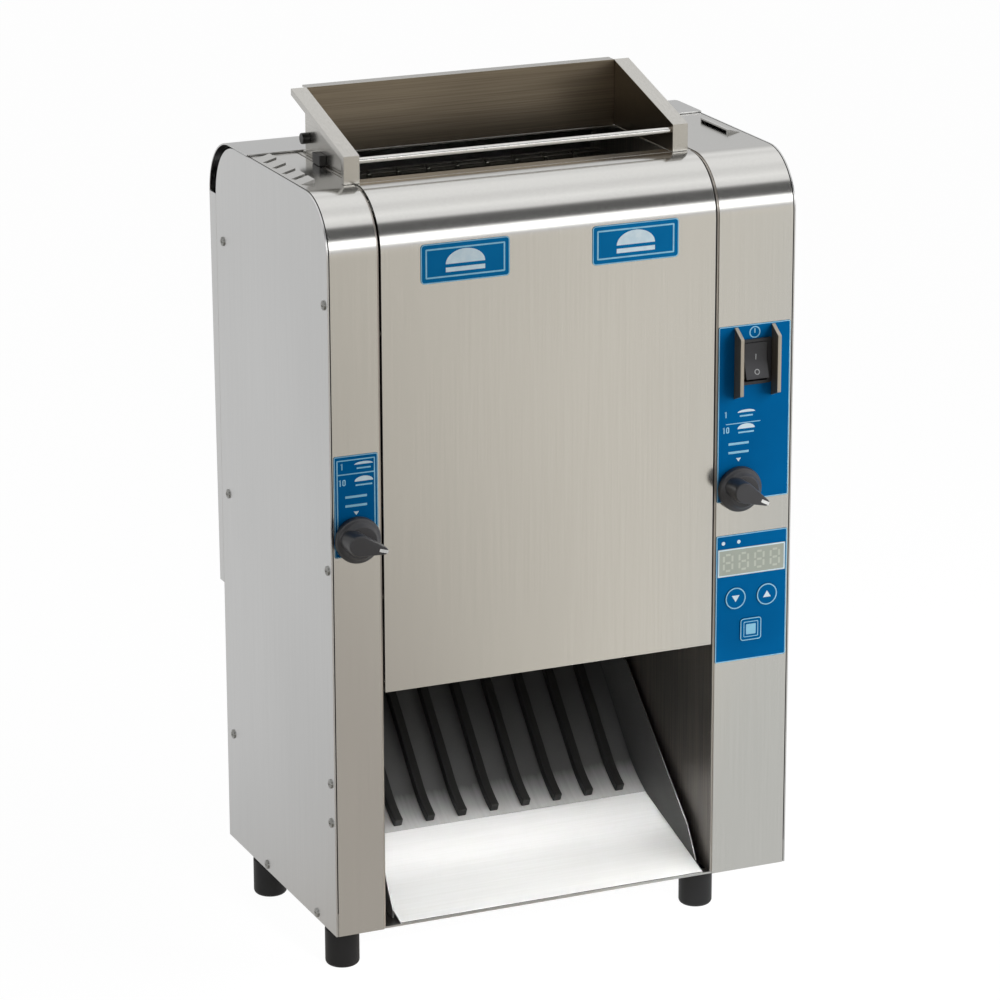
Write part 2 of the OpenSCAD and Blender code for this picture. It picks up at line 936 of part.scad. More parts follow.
// Two upright guards beside the switch, with slanted ends
guard_top_cut = 7;
guard_low_cut = 4.5;
module switch_guards() {
    z0 = switch_z - guard_h / 2;
    z1 = switch_z + guard_h / 2;
    color(dark_steel)
        in_body()
            for (s = [-1, 1])
                slab_x(panel_x + s * guard_x - guard_t / 2, panel_x + s * guard_x + guard_t / 2)
                    polygon([[-label_t, z0], [-guard_d, z0 + guard_low_cut],
                        [-guard_d, z1 - guard_top_cut], [-label_t, z1]]);
}

// Printed plates on the two towers
upper_z = [300, 437];
lower_z = [172, 273.5];
heel_z = [297, 374];
overlay_w = 60;
heel_w = 34.5;
overlay_corner = 1.5;
bush_clear = 1;
module overlay_plate(x, w, span) {
    round_rect([x, (span[0] + span[1]) / 2], [w, span[1] - span[0]], overlay_corner);
}
module control_overlays() {
    color(blue)
        in_body()
            slab_y(-label_t, 0) {
                difference() {
                    overlay_plate(panel_x, overlay_w, upper_z);
                    disc([right_knob_x, knob_z], bush_r + bush_clear);
                    square_cut = [switch_w + bezel_rim + edge_gap, switch_h + 2 * bezel_rim + edge_gap];
                    translate([panel_x, switch_z])
                        square(square_cut, center = true);
                }
                difference() {
                    overlay_plate(panel_x, overlay_w, lower_z);
                    key_holes(key_gap);
                    translate([panel_x, window_z])
                        square([window_w + edge_gap, window_h + edge_gap], center = true);
                }
                difference() {
                    overlay_plate(left_knob_x, heel_w, heel_z);
                    disc([left_knob_x, knob_z], bush_r + bush_clear);
                }
            }
}

// Window of the number display
module display_window() {
    inner = [window_w - 2 * window_rim - edge_gap, window_h - 2 * window_rim - edge_gap];
    color(glass_grey)
        in_body()
            translate([panel_x, 0, window_z]) {
                slab_y(-label_t, 0)
                    square([window_w, window_h], center = true);
                slab_y(0, sheet)
                    square(inner, center = true);
            }
}

// Circuit board behind the keypad, with its contacts and pillars
board_y = 10;
board_t = 1.6;
board_w = 52;
contact_r = 3;
contact_gap = 0.3;
key_back = 6;
board_low_in = 6;
board_top_in = 2;
board_pillar_r = 2.2;
board_pillar_in = 3;
board_pillar_low = 4;
digits_in = 5;
digits_drop = 4;
digits_gap = 1;
module control_board() {
    z0 = lower_z[0] + board_low_in;
    z1 = lower_z[1] - board_top_in;
    color(board_green)
        in_body() {
            block([panel_x - board_w / 2, board_y, z0], [panel_x + board_w / 2, board_y + board_t, z1]);
            slab_y(key_back + key_travel + contact_gap, board_y) {
                for (s = [-1, 1])
                    disc([panel_x + s * key_x, key_z], contact_r);
                disc([panel_x, square_key_z], contact_r);
            }
            for (s = [-1, 1], z = [z0 + board_pillar_low, z1 - board_pillar_in])
                slab_y(sheet, board_y)
                    disc([panel_x + s * (board_w / 2 - board_pillar_in), z], board_pillar_r);
            slab_y(sheet + digits_gap, board_y)
                translate([panel_x, window_z])
                    square([window_w - 2 * digits_in, window_h - 2 * digits_drop], center = true);
        }
}

// Key caps: a face in the plate, a rim behind the tower and a plunger
key_out = 0.5;
key_rim = 1.2;
rim_t = 1;
plunger_step = 1;
plunger_r = contact_r - plunger_step;
module key_cap(at) {
    color(blue)
        in_body()
            translate([at[0], 0, at[1]]) {
                slab_y(-label_t - key_out, sheet + key_gap)
                    children(0);
                slab_y(sheet + key_gap, sheet + key_gap + rim_t)
                    children(1);
                slab_y(sheet + key_gap, key_back)
                    circle(plunger_r);
            }
}
module arrow_key(s) {
    key_cap([panel_x + s * key_x, key_z]) {
        circle(key_r);
        circle(key_r + key_rim);
    }
}
module down_key() arrow_key(-1);
module up_key() arrow_key(1);
module program_key() {
    key_cap([panel_x, square_key_z]) {
        round_rect([0, 0], [square_key, square_key], key_corner - key_gap);
        round_rect([0, 0], [square_key + 2 * key_rim, square_key + 2 * key_rim], key_corner);
    }
}

// Front cover between the towers: front sheet, bend, top and side flanges hung on studs
cover_l = left_in + cover_gap;
cover_r = right_in - cover_gap;
cover_return = 9;
stud_fit = 0.3;
stud_slot_r = stud_r + stud_fit;
module front_cover() {
    color(steel)
        in_body() {
            slab_x(cover_l, cover_r)
                wrap_section(cover_bottom, cover_top_end);
            block([cover_l, sheet, cover_bottom], [cover_r, cover_return, cover_bottom + sheet]);
            for (x = [cover_l, cover_r - sheet])
                slab_x(x, x + sheet)
                    difference() {
                        box2([sheet, cover_bottom], [cover_flange, bend_z]);
                        for (z = stud_heights) {
                            disc([stud_y, z], stud_slot_r);
                            box2([stud_y, z - stud_slot_r], [cover_flange + past, z + stud_slot_r]);
                        }
                    }
        }
}

// Two printed plates on the front cover
plate_z = body_h - plate_drop;
plate_corner = 3;
module crown_labels() {
    color(blue)
        in_body()
            slab_y(-label_t, 0)
                for (s = [-1, 1])
                    round_rect([bay_mid + s * plate_pitch / 2, plate_z], [plate_w, plate_h], plate_corner);
}

// Rear cover: leaning back sheet, bend and top, with side flanges below the bend only
rear_edge_gap = 0.3;
module rear_section(r, inset) {
    z_top = bend_z + r;
    y_low = body_d + rear_proud_low + sheet - inset;
    intersection() {
        disc([rear_bend_y, bend_z + seat_gap], r);
        box2([rear_bend_y, bend_z + seat_gap], [rear_bend_y + r, z_top + seat_gap]);
    }
    box2([rear_cover_lip - inset, bend_z + seat_gap], [rear_bend_y, z_top + seat_gap]);
    polygon([[rear_cover_lip - inset, bend_z + seat_gap], [rear_bend_y + r, bend_z + seat_gap],
        [y_low, rear_cover_low - inset], [rear_cover_lip - inset, rear_cover_low - inset]]);
}
module rear_cover() {
    color(side_steel)
        in_body() {
            slab_x(left_x, right_x)
                difference() {
                    rear_section(bend_r + sheet, 0);
                    rear_section(bend_r, sheet);
                }
            for (x = [left_x, right_x - sheet])
                slab_x(x, x + sheet)
                    intersection() {
                        rear_section(bend_r + sheet / 2, sheet / 2);
                        box2([body_d + rear_edge_gap, rear_cover_low], [rear_out, bend_z]);
                    }
        }
}

// Hopper side: upright sheet, its sloping upper edge and front end folded out and turned back
hopper_y0 = throat_y0 - hopper_lead;
hopper_y1 = throat_y1;
hopper_z = body_h + seat_gap;
module hopper_side(inner, out) {
    z_front = body_h + hopper_front_h;
    z_back = body_h + hopper_back_h;
    edge = [[hopper_y0, z_front], [hopper_y1 + hopper_t, z_back]];
    plate_a = min(inner, inner + out * hopper_t);
    fold_a = min(inner, inner + out * (hopper_t + hopper_fold));
    lip_a = min(inner + out * hopper_fold, inner + out * (hopper_t + hopper_fold));
    color(steel)
        in_body() {
            slab_x(plate_a, plate_a + hopper_t)
                polygon([[hopper_y0, hopper_z], edge[0], edge[1], [hopper_y1 + hopper_t, hopper_z]]);
            slab_x(fold_a, fold_a + hopper_t + hopper_fold) {
                polygon([edge[0], edge[1], edge[1] - [0, hopper_t], edge[0] - [0, hopper_t]]);
                box2([hopper_y0, hopper_z], [hopper_y0 + hopper_t, z_front - hopper_t / 2]);
            }
            slab_x(lip_a, lip_a + hopper_t) {
                polygon([edge[0], edge[1], edge[1] - [0, hopper_lip], edge[0] - [0, hopper_lip]]);
                box2([hopper_y0, hopper_z], [hopper_y0 + hopper_lip, z_front - hopper_t / 2]);
            }
        }
}
hopper_l = left_in + hopper_left_in;
hopper_r = right_in - hopper_right_in;
module hopper_left_plate() hopper_side(hopper_l, -1);
module hopper_right_plate() hopper_side(hopper_r, 1);

// Back of the hopper with a foot on the top plate and a folded upper edge
hopper_foot = 9;
module hopper_back_plate() {
    y1 = hopper_y1 + hopper_t;
    z1 = body_h + hopper_back_h;
    color(steel)
        in_body()
            slab_x(hopper_l, hopper_r) {
                box2([hopper_y1, hopper_z], [y1, z1]);
                box2([hopper_y1, hopper_z], [y1 + hopper_foot, hopper_z + hopper_t]);
                box2([hopper_y1, z1 - hopper_t], [y1 + hopper_foot, z1]);
            }
}

// Rod across the front of the hopper
rod_drop = 5;
rod_gap = 1;
rod_z = body_h + hopper_front_h - rod_drop;
rod_y = hopper_y0 + hopper_t + rod_r + rod_gap;
module hopper_rod() {
    color(bright_steel)
        in_body()
            slab_x(hopper_l, hopper_r)
                disc([rod_y, rod_z], rod_r);
}

// Catches on the outside of the hopper: a knob near the back and a clip at the lower edge
catch_r = 4.2;
catch_out = 6;
catch_in = 5;
catch_rise = 14;
clip_out = 5.5;
clip_back = 62;
clip_len = 15;
clip_h = 8;
module hopper_latches() {
    clip_y = hopper_y0 + clip_back;
    color(black)
        in_body()
            for (s = [-1, 1]) {
                x = s < 0 ? hopper_l - hopper_t : hopper_r + hopper_t;
                slab_x(min(x, x + s * catch_out), max(x, x + s * catch_out))
                    disc([hopper_y1 - catch_in, body_h + catch_rise], catch_r);
                slab_x(min(x, x + s * clip_out), max(x, x + s * clip_out))
                    box2([clip_y, hopper_z], [clip_y + clip_len, hopper_z + clip_h]);
            }
}

// Course of the chute: straight tray, bend and straight slide
chute_l = left_in + chute_left_gap;
chute_r = right_in - chute_right_gap;
chute_y0 = 0.5;
tray_end = [chute_y0 + tray_len * cos(tray_slope), tray_lip + tray_len * sin(tray_slope)];
bend_c = tray_end + chute_bend * [-sin(tray_slope), cos(tray_slope)];
slide_start = bend_c + chute_bend * [sin(slide_slope), -cos(slide_slope)];
slide_end = slide_start + slide_len * [cos(slide_slope), sin(slide_slope)];

// Band along a straight stretch, from height lo to hi above its surface
module straight_band(start, slope, len, lo, hi) {
    translate(start)
        rotate(slope)
            box2([0, lo], [len, hi]);
}

// Band along the bend between two slopes, from height lo to hi above its surface
module bend_band(a0, a1, lo, hi) {
    far = 2 * chute_bend;
    rays = [for (a = [a0, (a0 + a1) / 2, a1]) far * [sin(a), -cos(a)]];
    translate(bend_c)
        difference() {
            intersection() {
                circle(chute_bend - lo);
                polygon(concat([[0, 0]], rays));
            }
            circle(chute_bend - hi);
        }
}

// Slope of the bend at which the bright tray ends and the dark slide begins
tray_turn = 6;
bend_lap = 0.5;
chute_split = tray_slope + tray_turn;
module landing_tray() {
    color(bright_steel)
        in_body()
            slab_x(chute_l + sheet, chute_r - sheet) {
                straight_band([chute_y0, tray_lip], tray_slope, tray_len + bend_lap, -sheet, 0);
                bend_band(tray_slope, chute_split, -sheet, 0);
            }
}

// Dark slide with upright side plates that stand on the base
side_low = [14, 7];
side_knee = [29, 31];
side_top = [143, 130];
side_rise = 6;
side_foot_in = 20;
module slide_plate() {
    foot_z = wall + seat_gap;
    color(black)
        in_body() {
            slab_x(chute_l + sheet, chute_r - sheet) {
                bend_band(chute_split, slide_slope, -sheet, 0);
                straight_band(slide_start, slide_slope, slide_len, -sheet, 0);
            }
            for (x = [chute_l, chute_r - sheet])
                slab_x(x, x + sheet)
                    polygon([[side_low[0], foot_z], side_low, side_knee, side_top, slide_end + [0, side_rise],
                        slide_end, [slide_end[0] - side_foot_in, foot_z]]);
        }
}

// Ribs that keep the bread off the slide
rib_turn = 9;
rib_start = tray_slope + rib_turn;
module slide_ribs() {
    color(dark_steel)
        in_body()
            for (i = [0 : rib_count - 1]) {
                x = bay_mid + (i - (rib_count - 1) / 2) * rib_pitch;
                slab_x(x - rib_w / 2, x + rib_w / 2) {
                    bend_band(rib_start, slide_slope, 0, rib_h);
                    straight_band(slide_start, slide_slope, slide_len, 0, rib_h);
                }
            }
}

// Closed loop drawn about a drive and a return roller
module loop2(y, r) {
    disc([y, drive_z], r);
    disc([y, return_z], r);
    box2([y - r, return_z], [y + r, drive_z]);
}

// Wire belt round its two rollers
module wire_belt(y) {
    color(alloy)
        in_body()
            slab_x(belt_l, belt_r)
                difference() {
                    loop2(y, loop_half);
                    loop2(y, loop_half - belt_t);
                }
}
module front_belt() wire_belt(front_shaft_y);
module rear_belt() wire_belt(rear_shaft_y);

// Swinging belt frame: two plates, the pressure plate behind the working run and the swing pin
backer_t = 2.5;
backer_gap = 0.6;
bar_t = 4;
bar_off = 60;
backer_end = 3;
module conveyor_frame(y, facing, pin_x) {
    backer_y = y + facing * (roller_r + belt_slack - backer_gap - backer_t / 2);
    bar_y = (y + backer_y - facing * bar_t) / 2;
    bar_w = abs(backer_y - y) + bar_t;
    pin_x0 = pin_x < 0 ? frame_l : frame_r + frame_t;
    color(dark_steel)
        in_body() {
            for (x = [frame_l, frame_r])
                slab_x(x, x + frame_t)
                    difference() {
                        loop2(y, frame_w / 2);
                        disc([y, drive_z], shaft_r + run_fit);
                        disc([y, return_z], axle_r + run_fit);
                    }
            slab_x(frame_l + frame_t, frame_r) {
                translate([backer_y, (return_z + drive_z) / 2])
                    square([backer_t, belt_run - 2 * (roller_r + backer_end)], center = true);
                for (z = [return_z + bar_off, drive_z - bar_off])
                    translate([bar_y, z])
                        square([bar_w, bar_t], center = true);
            }
            slab_x(min(pin_x, pin_x0), max(pin_x, pin_x0))
                disc([y, swing_z], swing_pin_r);
        }
}
pin_reach = 4;
module front_conveyor_frame() conveyor_frame(front_shaft_y, 1, right_knob_x + pin_reach);
module rear_conveyor_frame() conveyor_frame(rear_shaft_y, -1, left_knob_x - pin_reach);

// Drive roller with its shaft through both inner walls
shaft_out = 3;
shaft_past_gear = 1;
roller_in = 1;
module drive_roller(y) {
    color(dark_steel)
        in_body() {
            slab_x(belt_l + roller_in, belt_r - roller_in)
                disc([y, drive_z], roller_r);
            slab_x(left_in - wall - bush_flange - shaft_out, gear_x + gear_w + shaft_past_gear)
                disc([y, drive_z], shaft_r);
        }
}
module front_drive_roller() drive_roller(front_shaft_y);
module rear_drive_roller() drive_roller(rear_shaft_y);

// Return roller with axle ends in the belt frame
axle_out = 1;
module return_roller(y) {
    color(dark_steel)
        in_body() {
            slab_x(belt_l + roller_in, belt_r - roller_in)
                disc([y, return_z], roller_r);
            slab_x(frame_l - axle_out, frame_r + frame_t + axle_out)
                disc([y, return_z], axle_r);
        }
}
module front_return_roller() return_roller(front_shaft_y);
module rear_return_roller() return_roller(rear_shaft_y);

// Half the angle that a tooth takes at radius r, for n teeth
function involute(a) = tan(a) * 180 / PI - a;
function half_tooth(r, n) =
    let (pitch_r = gear_m * n / 2, base_r = pitch_r * cos(press_angle))
    (180 / PI) * (PI * gear_m / 2 - backlash) / (2 * pitch_r)
        + involute(press_angle) - involute(acos(min(1, base_r / max(r, base_r))));

// Outline of a gear: root, five points up each flank and the tip
flank_steps = 4;
function flank_r(k, n) =
    let (pitch_r = gear_m * n / 2, low = max(pitch_r * cos(press_angle), pitch_r - dedendum))
    low + (pitch_r + addendum - low) * k / flank_steps;
function polar(r, a) = r * [cos(a), sin(a)];
function gear_points(n, turn) = [for (i = [0 : n - 1])
    let (mid = turn + i * 360 / n, root_r = gear_m * n / 2 - dedendum)
    each concat(
        [polar(root_r, mid - half_tooth(0, n))],
        [for (k = [0 : flank_steps]) polar(flank_r(k, n), mid - half_tooth(flank_r(k, n), n))],
        [for (k = [flank_steps : -1 : 0]) polar(flank_r(k, n), mid + half_tooth(flank_r(k, n), n))],
        [polar(root_r, mid + half_tooth(0, n))])];

// Spur gear at depth y and height z with a bore
module spur_gear(y, z, n, turn, bore) {
    color(alloy)
        in_body()
            slab_x(gear_x, gear_x + gear_w)
                translate([y, z])
                    difference() {
                        polygon(gear_points(n, turn));
                        circle(bore);
                    }
}
half_pitch = 180 / gear_teeth;
module front_drive_gear() spur_gear(front_shaft_y, drive_z, gear_teeth, 0, shaft_r);
module front_idler_gear() spur_gear(pinion_y, drive_z, gear_teeth, half_pitch, idler_stud_r + run_fit);
module rear_idler_gear() spur_gear(pinion_y + gear_pitch, drive_z, gear_teeth, 0, idler_stud_r + run_fit);
module rear_drive_gear() spur_gear(rear_shaft_y, drive_z, gear_teeth, half_pitch, shaft_r);

// Pinion with its shaft in the gearbox
pinion_bite = 0.5;
pinion_end_gap = 2;
module motor_pinion() {
    spur_gear(pinion_y, pinion_z, pinion_teeth, 0, pinion_shaft_r - pinion_bite);
    color(alloy)
        in_body()
            slab_x(gear_x, gearbox_x + gearbox_t - gearbox_floor - pinion_end_gap)
                disc([pinion_y, pinion_z], pinion_shaft_r);
}

// Dial: skirt, stepped body and a grip that narrows to its pointer, on the end of its screw
knob_gap = 0.5;
skirt_t = 6;
skirt_bevel = 1.5;
hub_in = 2.5;
hub_taper = 1;
knob_step = 4;
grip_root = 9;
grip_tip = 2.8;
grip_short = 1.2;
grip_lean = 1.5;
dial_cap = 5;
module dial(x, drop) {
    r = knob_d / 2;
    reach = r - grip_short - grip_tip;
    side = acos((grip_root - grip_tip) / reach);
    edge = [cos(side), sin(side)];
    flip = [cos(side), -sin(side)];
    back = label_t + knob_gap;
    color(black)
        in_body()
            translate([x, -back, knob_z])
                rotate([90, drop, 0])
                    difference() {
                        union() {
                            cylinder(r = r, h = skirt_t - skirt_bevel);
                            translate([0, 0, skirt_t - skirt_bevel])
                                cylinder(r1 = r, r2 = r - skirt_bevel, h = skirt_bevel);
                            translate([0, 0, skirt_t])
                                cylinder(r1 = r - hub_in, r2 = r - hub_in - hub_taper, h = knob_step);
                            intersection() {
                                linear_extrude(knob_proud - back) {
                                    circle(grip_root);
                                    disc([reach, 0], grip_tip);
                                    polygon([grip_root * edge, [reach, 0] + grip_tip * edge,
                                        [reach, 0] + grip_tip * flip, grip_root * flip]);
                                }
                                cylinder(r1 = r + grip_lean / 2, r2 = r - grip_lean, h = knob_proud - back);
                            }
                        }
                        translate([0, 0, -past])
                            cylinder(r = screw_r, h = knob_proud - back - dial_cap + past);
                    }
}
module left_knob() dial(left_knob_x, left_pointer);
module right_knob() dial(right_knob_x, right_pointer);

// Adjusting screws from inside the dials to past the nuts
screw_past = 22;
screw_end = 1;
module adjust_screw(x, y_end) {
    color(alloy)
        in_body()
            slab_y(-knob_proud + dial_cap, y_end)
                disc([x, knob_z], screw_r);
}
module left_adjust_screw() adjust_screw(left_knob_x, rear_block_y + rear_block_t + screw_end);
module right_adjust_screw() adjust_screw(right_knob_x, front_shaft_y + screw_past);

// Nut that the screw moves and that holds the swing pin in its slot
nut_t = 16;
nut_w = 25;
nut_fit = 0.08;
nut_wall = 5;
nut_roof = 1;
module adjust_nut(x, y) {
    low = swing_z - swing_pin_r - nut_wall;
    high = knob_z + screw_r + nut_wall;
    slot_half = swing_pin_r + nut_fit;
    color(brass)
        in_body()
            difference() {
                block([x - nut_w / 2, y - nut_t / 2, low], [x + nut_w / 2, y + nut_t / 2, high]);
                slab_y(y - nut_t, y + nut_t)
                    disc([x, knob_z], screw_r + run_fit);
                slab_x(x - nut_w, x + nut_w)
                    box2([y - slot_half, low - past], [y + slot_half, swing_z + swing_pin_r + nut_roof]);
            }
}
module left_adjust_nut() adjust_nut(left_knob_x, rear_shaft_y);
module right_adjust_nut() adjust_nut(right_knob_x, front_shaft_y);

base_pan();
feet();
left_side_panel();
right_side_panel();
left_tower_shell();
right_tower_shell();
left_inner_wall();
right_inner_wall();
top_plate();
tie_bars();
rear_posts();
rear_lower_panel();
panel_screws();
cord_gland();
platen();
heating_elements();
platen_spacers();
shaft_bushes();
screw_bushes();
gear_motor();
switch_body();
switch_guards();
control_overlays();
display_window();
control_board();
front_cover();
crown_labels();
rear_cover();
hopper_left_plate();
hopper_right_plate();
hopper_back_plate();
hopper_rod();
hopper_latches();
slide_plate();
slide_ribs();
landing_tray();
front_conveyor_frame();
front_belt();
rear_conveyor_frame();
rear_belt();
front_drive_roller();
front_drive_gear();
rear_drive_roller();
rear_drive_gear();
front_return_roller();
rear_return_roller();
front_idler_gear();
rear_idler_gear();
motor_pinion();
left_knob();
right_knob();
left_adjust_screw();
right_adjust_screw();
left_adjust_nut();
right_adjust_nut();
switch_rocker();
up_key();
down_key();
program_key();
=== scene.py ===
"""Looks of an upright contact toaster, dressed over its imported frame.

Lengths are in millimetres, as in the part's source, unless a name ends in _m. The frame is in metres,
and MM turns the one into the other.
"""

import json
import logging
import math
from collections.abc import Iterable
from dataclasses import dataclass, field
from enum import Enum

import bmesh
import bpy
from mathutils import Matrix, Vector
from mathutils.bvhtree import BVHTree

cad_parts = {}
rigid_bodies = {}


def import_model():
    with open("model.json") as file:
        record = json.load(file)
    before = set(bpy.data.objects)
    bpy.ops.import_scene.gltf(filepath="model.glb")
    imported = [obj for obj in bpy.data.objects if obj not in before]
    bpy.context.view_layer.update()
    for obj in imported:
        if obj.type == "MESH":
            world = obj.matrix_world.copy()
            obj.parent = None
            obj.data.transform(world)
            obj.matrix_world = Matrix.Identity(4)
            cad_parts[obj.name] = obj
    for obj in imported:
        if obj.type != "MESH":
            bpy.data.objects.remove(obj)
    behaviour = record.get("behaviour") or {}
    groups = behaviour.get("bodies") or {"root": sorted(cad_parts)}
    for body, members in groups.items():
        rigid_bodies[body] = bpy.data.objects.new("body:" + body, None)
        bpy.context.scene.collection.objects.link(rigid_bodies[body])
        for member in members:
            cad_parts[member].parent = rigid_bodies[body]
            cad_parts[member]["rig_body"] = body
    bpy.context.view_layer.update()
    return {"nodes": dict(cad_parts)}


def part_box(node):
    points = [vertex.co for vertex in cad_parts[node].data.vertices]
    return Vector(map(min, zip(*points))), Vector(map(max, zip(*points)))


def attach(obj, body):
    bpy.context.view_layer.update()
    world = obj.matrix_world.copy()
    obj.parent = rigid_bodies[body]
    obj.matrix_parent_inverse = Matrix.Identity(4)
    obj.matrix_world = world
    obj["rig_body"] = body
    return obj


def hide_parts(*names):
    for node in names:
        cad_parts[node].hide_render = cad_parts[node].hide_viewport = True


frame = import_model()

LOG = logging.getLogger("toaster")
MM = 0.001
WELD_M = 1e-6
FAR_FRONT_M = -1.0
# Stretches in a corner, a half ellipse, a ring line and a turned solid
ARC_STEPS = 8
DOME_STEPS = 20
CIRCLE_STEPS = 48
LATHE_STEPS = 64

Point = tuple[float, float]
Outline = list[Point]
Box = tuple[Vector, Vector]
Mesh = bmesh.types.BMesh
Piece = bpy.types.Object
Tree = bpy.types.NodeTree
Node = bpy.types.Node
Socket = bpy.types.NodeSocket


class Facing(Enum):
    """Way that a flat place looks; the value holds its own X, Y and Z axes in the frame."""

    FRONT = ((1, 0, 0), (0, 0, 1), (0, -1, 0))
    LEFT = ((0, -1, 0), (0, 0, 1), (-1, 0, 0))
    RIGHT = ((0, 1, 0), (0, 0, 1), (1, 0, 0))
    UP = ((1, 0, 0), (0, 1, 0), (0, 0, 1))

    def at(self, origin: Vector) -> Matrix:
        """Give the matrix from local millimetres to the frame.

        Args:
            origin: Place of the local origin, in metres.

        Returns:
            The matrix.
        """
        columns = [Vector(axis) * MM for axis in self.value]
        return Matrix.Translation(origin) @ Matrix(columns).transposed().to_4x4()


class Grain(Enum):
    """Way that a metal's marks run; the value names the axes along which they are long."""

    UPRIGHT = (False, False, True)
    LEVEL = (True, False, False)
    DEPTH = (False, True, False)
    ROUND_X = (False, True, True)


def linear(code: str) -> tuple[float, float, float, float]:
    """Turn an sRGB hex colour into a linear one.

    Args:
        code: Colour such as "#A0B0C0".

    Returns:
        Linear red, green, blue and an alpha of one.
    """
    shares = [int(code[i:i + 2], 16) / 255 for i in (1, 3, 5)]
    red, green, blue = [s / 12.92 if s <= 0.04045 else ((s + 0.055) / 1.055) ** 2.4 for s in shares]
    return red, green, blue, 1.0


def link_object(name: str, data: bpy.types.ID) -> bpy.types.Object:
    """Make an object and put it into the scene.

    Args:
        name: Name of the object.
        data: Its mesh, light or camera.

    Returns:
        The object.
    """
    made = bpy.data.objects.new(name, data)
    bpy.context.scene.collection.objects.link(made)
    return made


def empty_tree(owner: bpy.types.Material | bpy.types.World) -> Tree:
    """Switch a material or a world to nodes and empty its tree.

    Args:
        owner: The material or world.

    Returns:
        The tree without nodes.
    """
    owner.use_nodes = True
    owner.node_tree.nodes.clear()
    return owner.node_tree


def add_node(tree: Tree, kind: str, feeds: dict | None = None, **settings) -> Node:
    """Add one shader node with its settings and links.

    Args:
        tree: Tree that gets the node.
        kind: Blender's type name of the node.
        feeds: Socket name or index, with the value or the output that feeds it.
        **settings: The node's own properties.

    Returns:
        The node.
    """
    node = tree.nodes.new(kind)
    for name, value in settings.items():
        setattr(node, name, value)
    for key, value in (feeds or {}).items():
        if isinstance(value, Socket):
            tree.links.new(value, node.inputs[key])
        else:
            node.inputs[key].default_value = value
    return node


def reckon(tree: Tree, operation: str, *values: Socket | float) -> Socket:
    """Add one step of arithmetic.

    Args:
        tree: Tree that gets the node.
        operation: Blender's name of the operation.
        *values: What goes in.

    Returns:
        Output with the result.
    """
    return add_node(tree, "ShaderNodeMath", dict(enumerate(values)), operation=operation).outputs["Value"]


@dataclass(frozen=True)
class Finish:
    """What a surface is made of and how it looks.

    The pattern sizes are real millimetres, so a pattern keeps its scale on every piece.
    """

    name: str
    slot: str
    colour: str
    shade: str
    roughness: float
    metallic: float = 0.0
    coat: float = 0.0
    specular: float = 0.5
    relief: float = 0.02
    spread: float = 0.1
    tone_ends: Point = (0.35, 0.65)

    def material(self) -> bpy.types.Material:
        """Give the material, made on first use.

        Returns:
            The material with its node tree.
        """
        made = bpy.data.materials.get(self.name)
        if made is None:
            made = bpy.data.materials.new(self.name)
            tree = empty_tree(made)
            shader = add_node(tree, "ShaderNodeBsdfPrincipled", {
                "Metallic": self.metallic, "Roughness": self.roughness, "Coat Weight": self.coat,
                "Specular IOR Level": self.specular})
            self.pattern(tree, shader)
            add_node(tree, "ShaderNodeOutputMaterial", {"Surface": shader.outputs["BSDF"]})
        return made

    def pattern(self, tree: Tree, shader: Node) -> None:
        """Feed the shader with the finish's own pattern; each kind of finish has its own."""
        raise NotImplementedError

    def mottle(self, tree: Tree, sizes: Iterable[float],
               detail: float = 2.0) -> Socket:
        """Lay a random pattern over the piece in its own coordinates.

        Args:
            tree: The material's tree.
            sizes: Usual length of a mark along X, Y and Z.
            detail: How many finer layers lie in it.

        Returns:
            Output that runs from 0 to 1.
        """
        place = add_node(tree, "ShaderNodeTexCoord").outputs["Object"]
        fitted = add_node(tree, "ShaderNodeMapping", {
            "Vector": place, "Scale": [1 / (size * MM) for size in sizes]})
        return add_node(tree, "ShaderNodeTexNoise", {
            "Vector": fitted.outputs["Vector"], "Scale": 1.0, "Detail": detail}).outputs["Fac"]

    def tint(self, tree: Tree, share: Socket, ends: Point) -> Socket:
        """Blend the finish's two colours.

        Args:
            tree: The material's tree.
            share: Pattern that picks between them.
            ends: Pattern values that give the first and the second colour.

        Returns:
            Output with the blended colour.
        """
        factor = add_node(tree, "ShaderNodeMapRange", {
            "Value": share, "From Min": ends[0], "From Max": ends[1]})
        return add_node(tree, "ShaderNodeMix", {
            0: factor.outputs["Result"], 6: linear(self.colour), 7: linear(self.shade)},
            data_type="RGBA").outputs[2]

    def feed(self, tree: Tree, shader: Node, tone: Socket,
             share: Socket) -> None:
        """Give the shader its colour, and vary its roughness and height with one pattern.

        Args:
            tree: The material's tree.
            shader: Shader that is fed.
            tone: Colour.
            share: Pattern from 0 to 1, over which the roughness changes by the finish's spread.
        """
        half = self.spread / 2
        rough = add_node(tree, "ShaderNodeMapRange", {
            "Value": share, "To Min": self.roughness - half, "To Max": self.roughness + half})
        bump = add_node(tree, "ShaderNodeBump", {
            "Height": share, "Strength": 1.0, "Distance": self.relief * MM})
        tree.links.new(tone, shader.inputs["Base Color"])
        tree.links.new(rough.outputs["Result"], shader.inputs["Roughness"])
        tree.links.new(bump.outputs["Normal"], shader.inputs["Normal"])


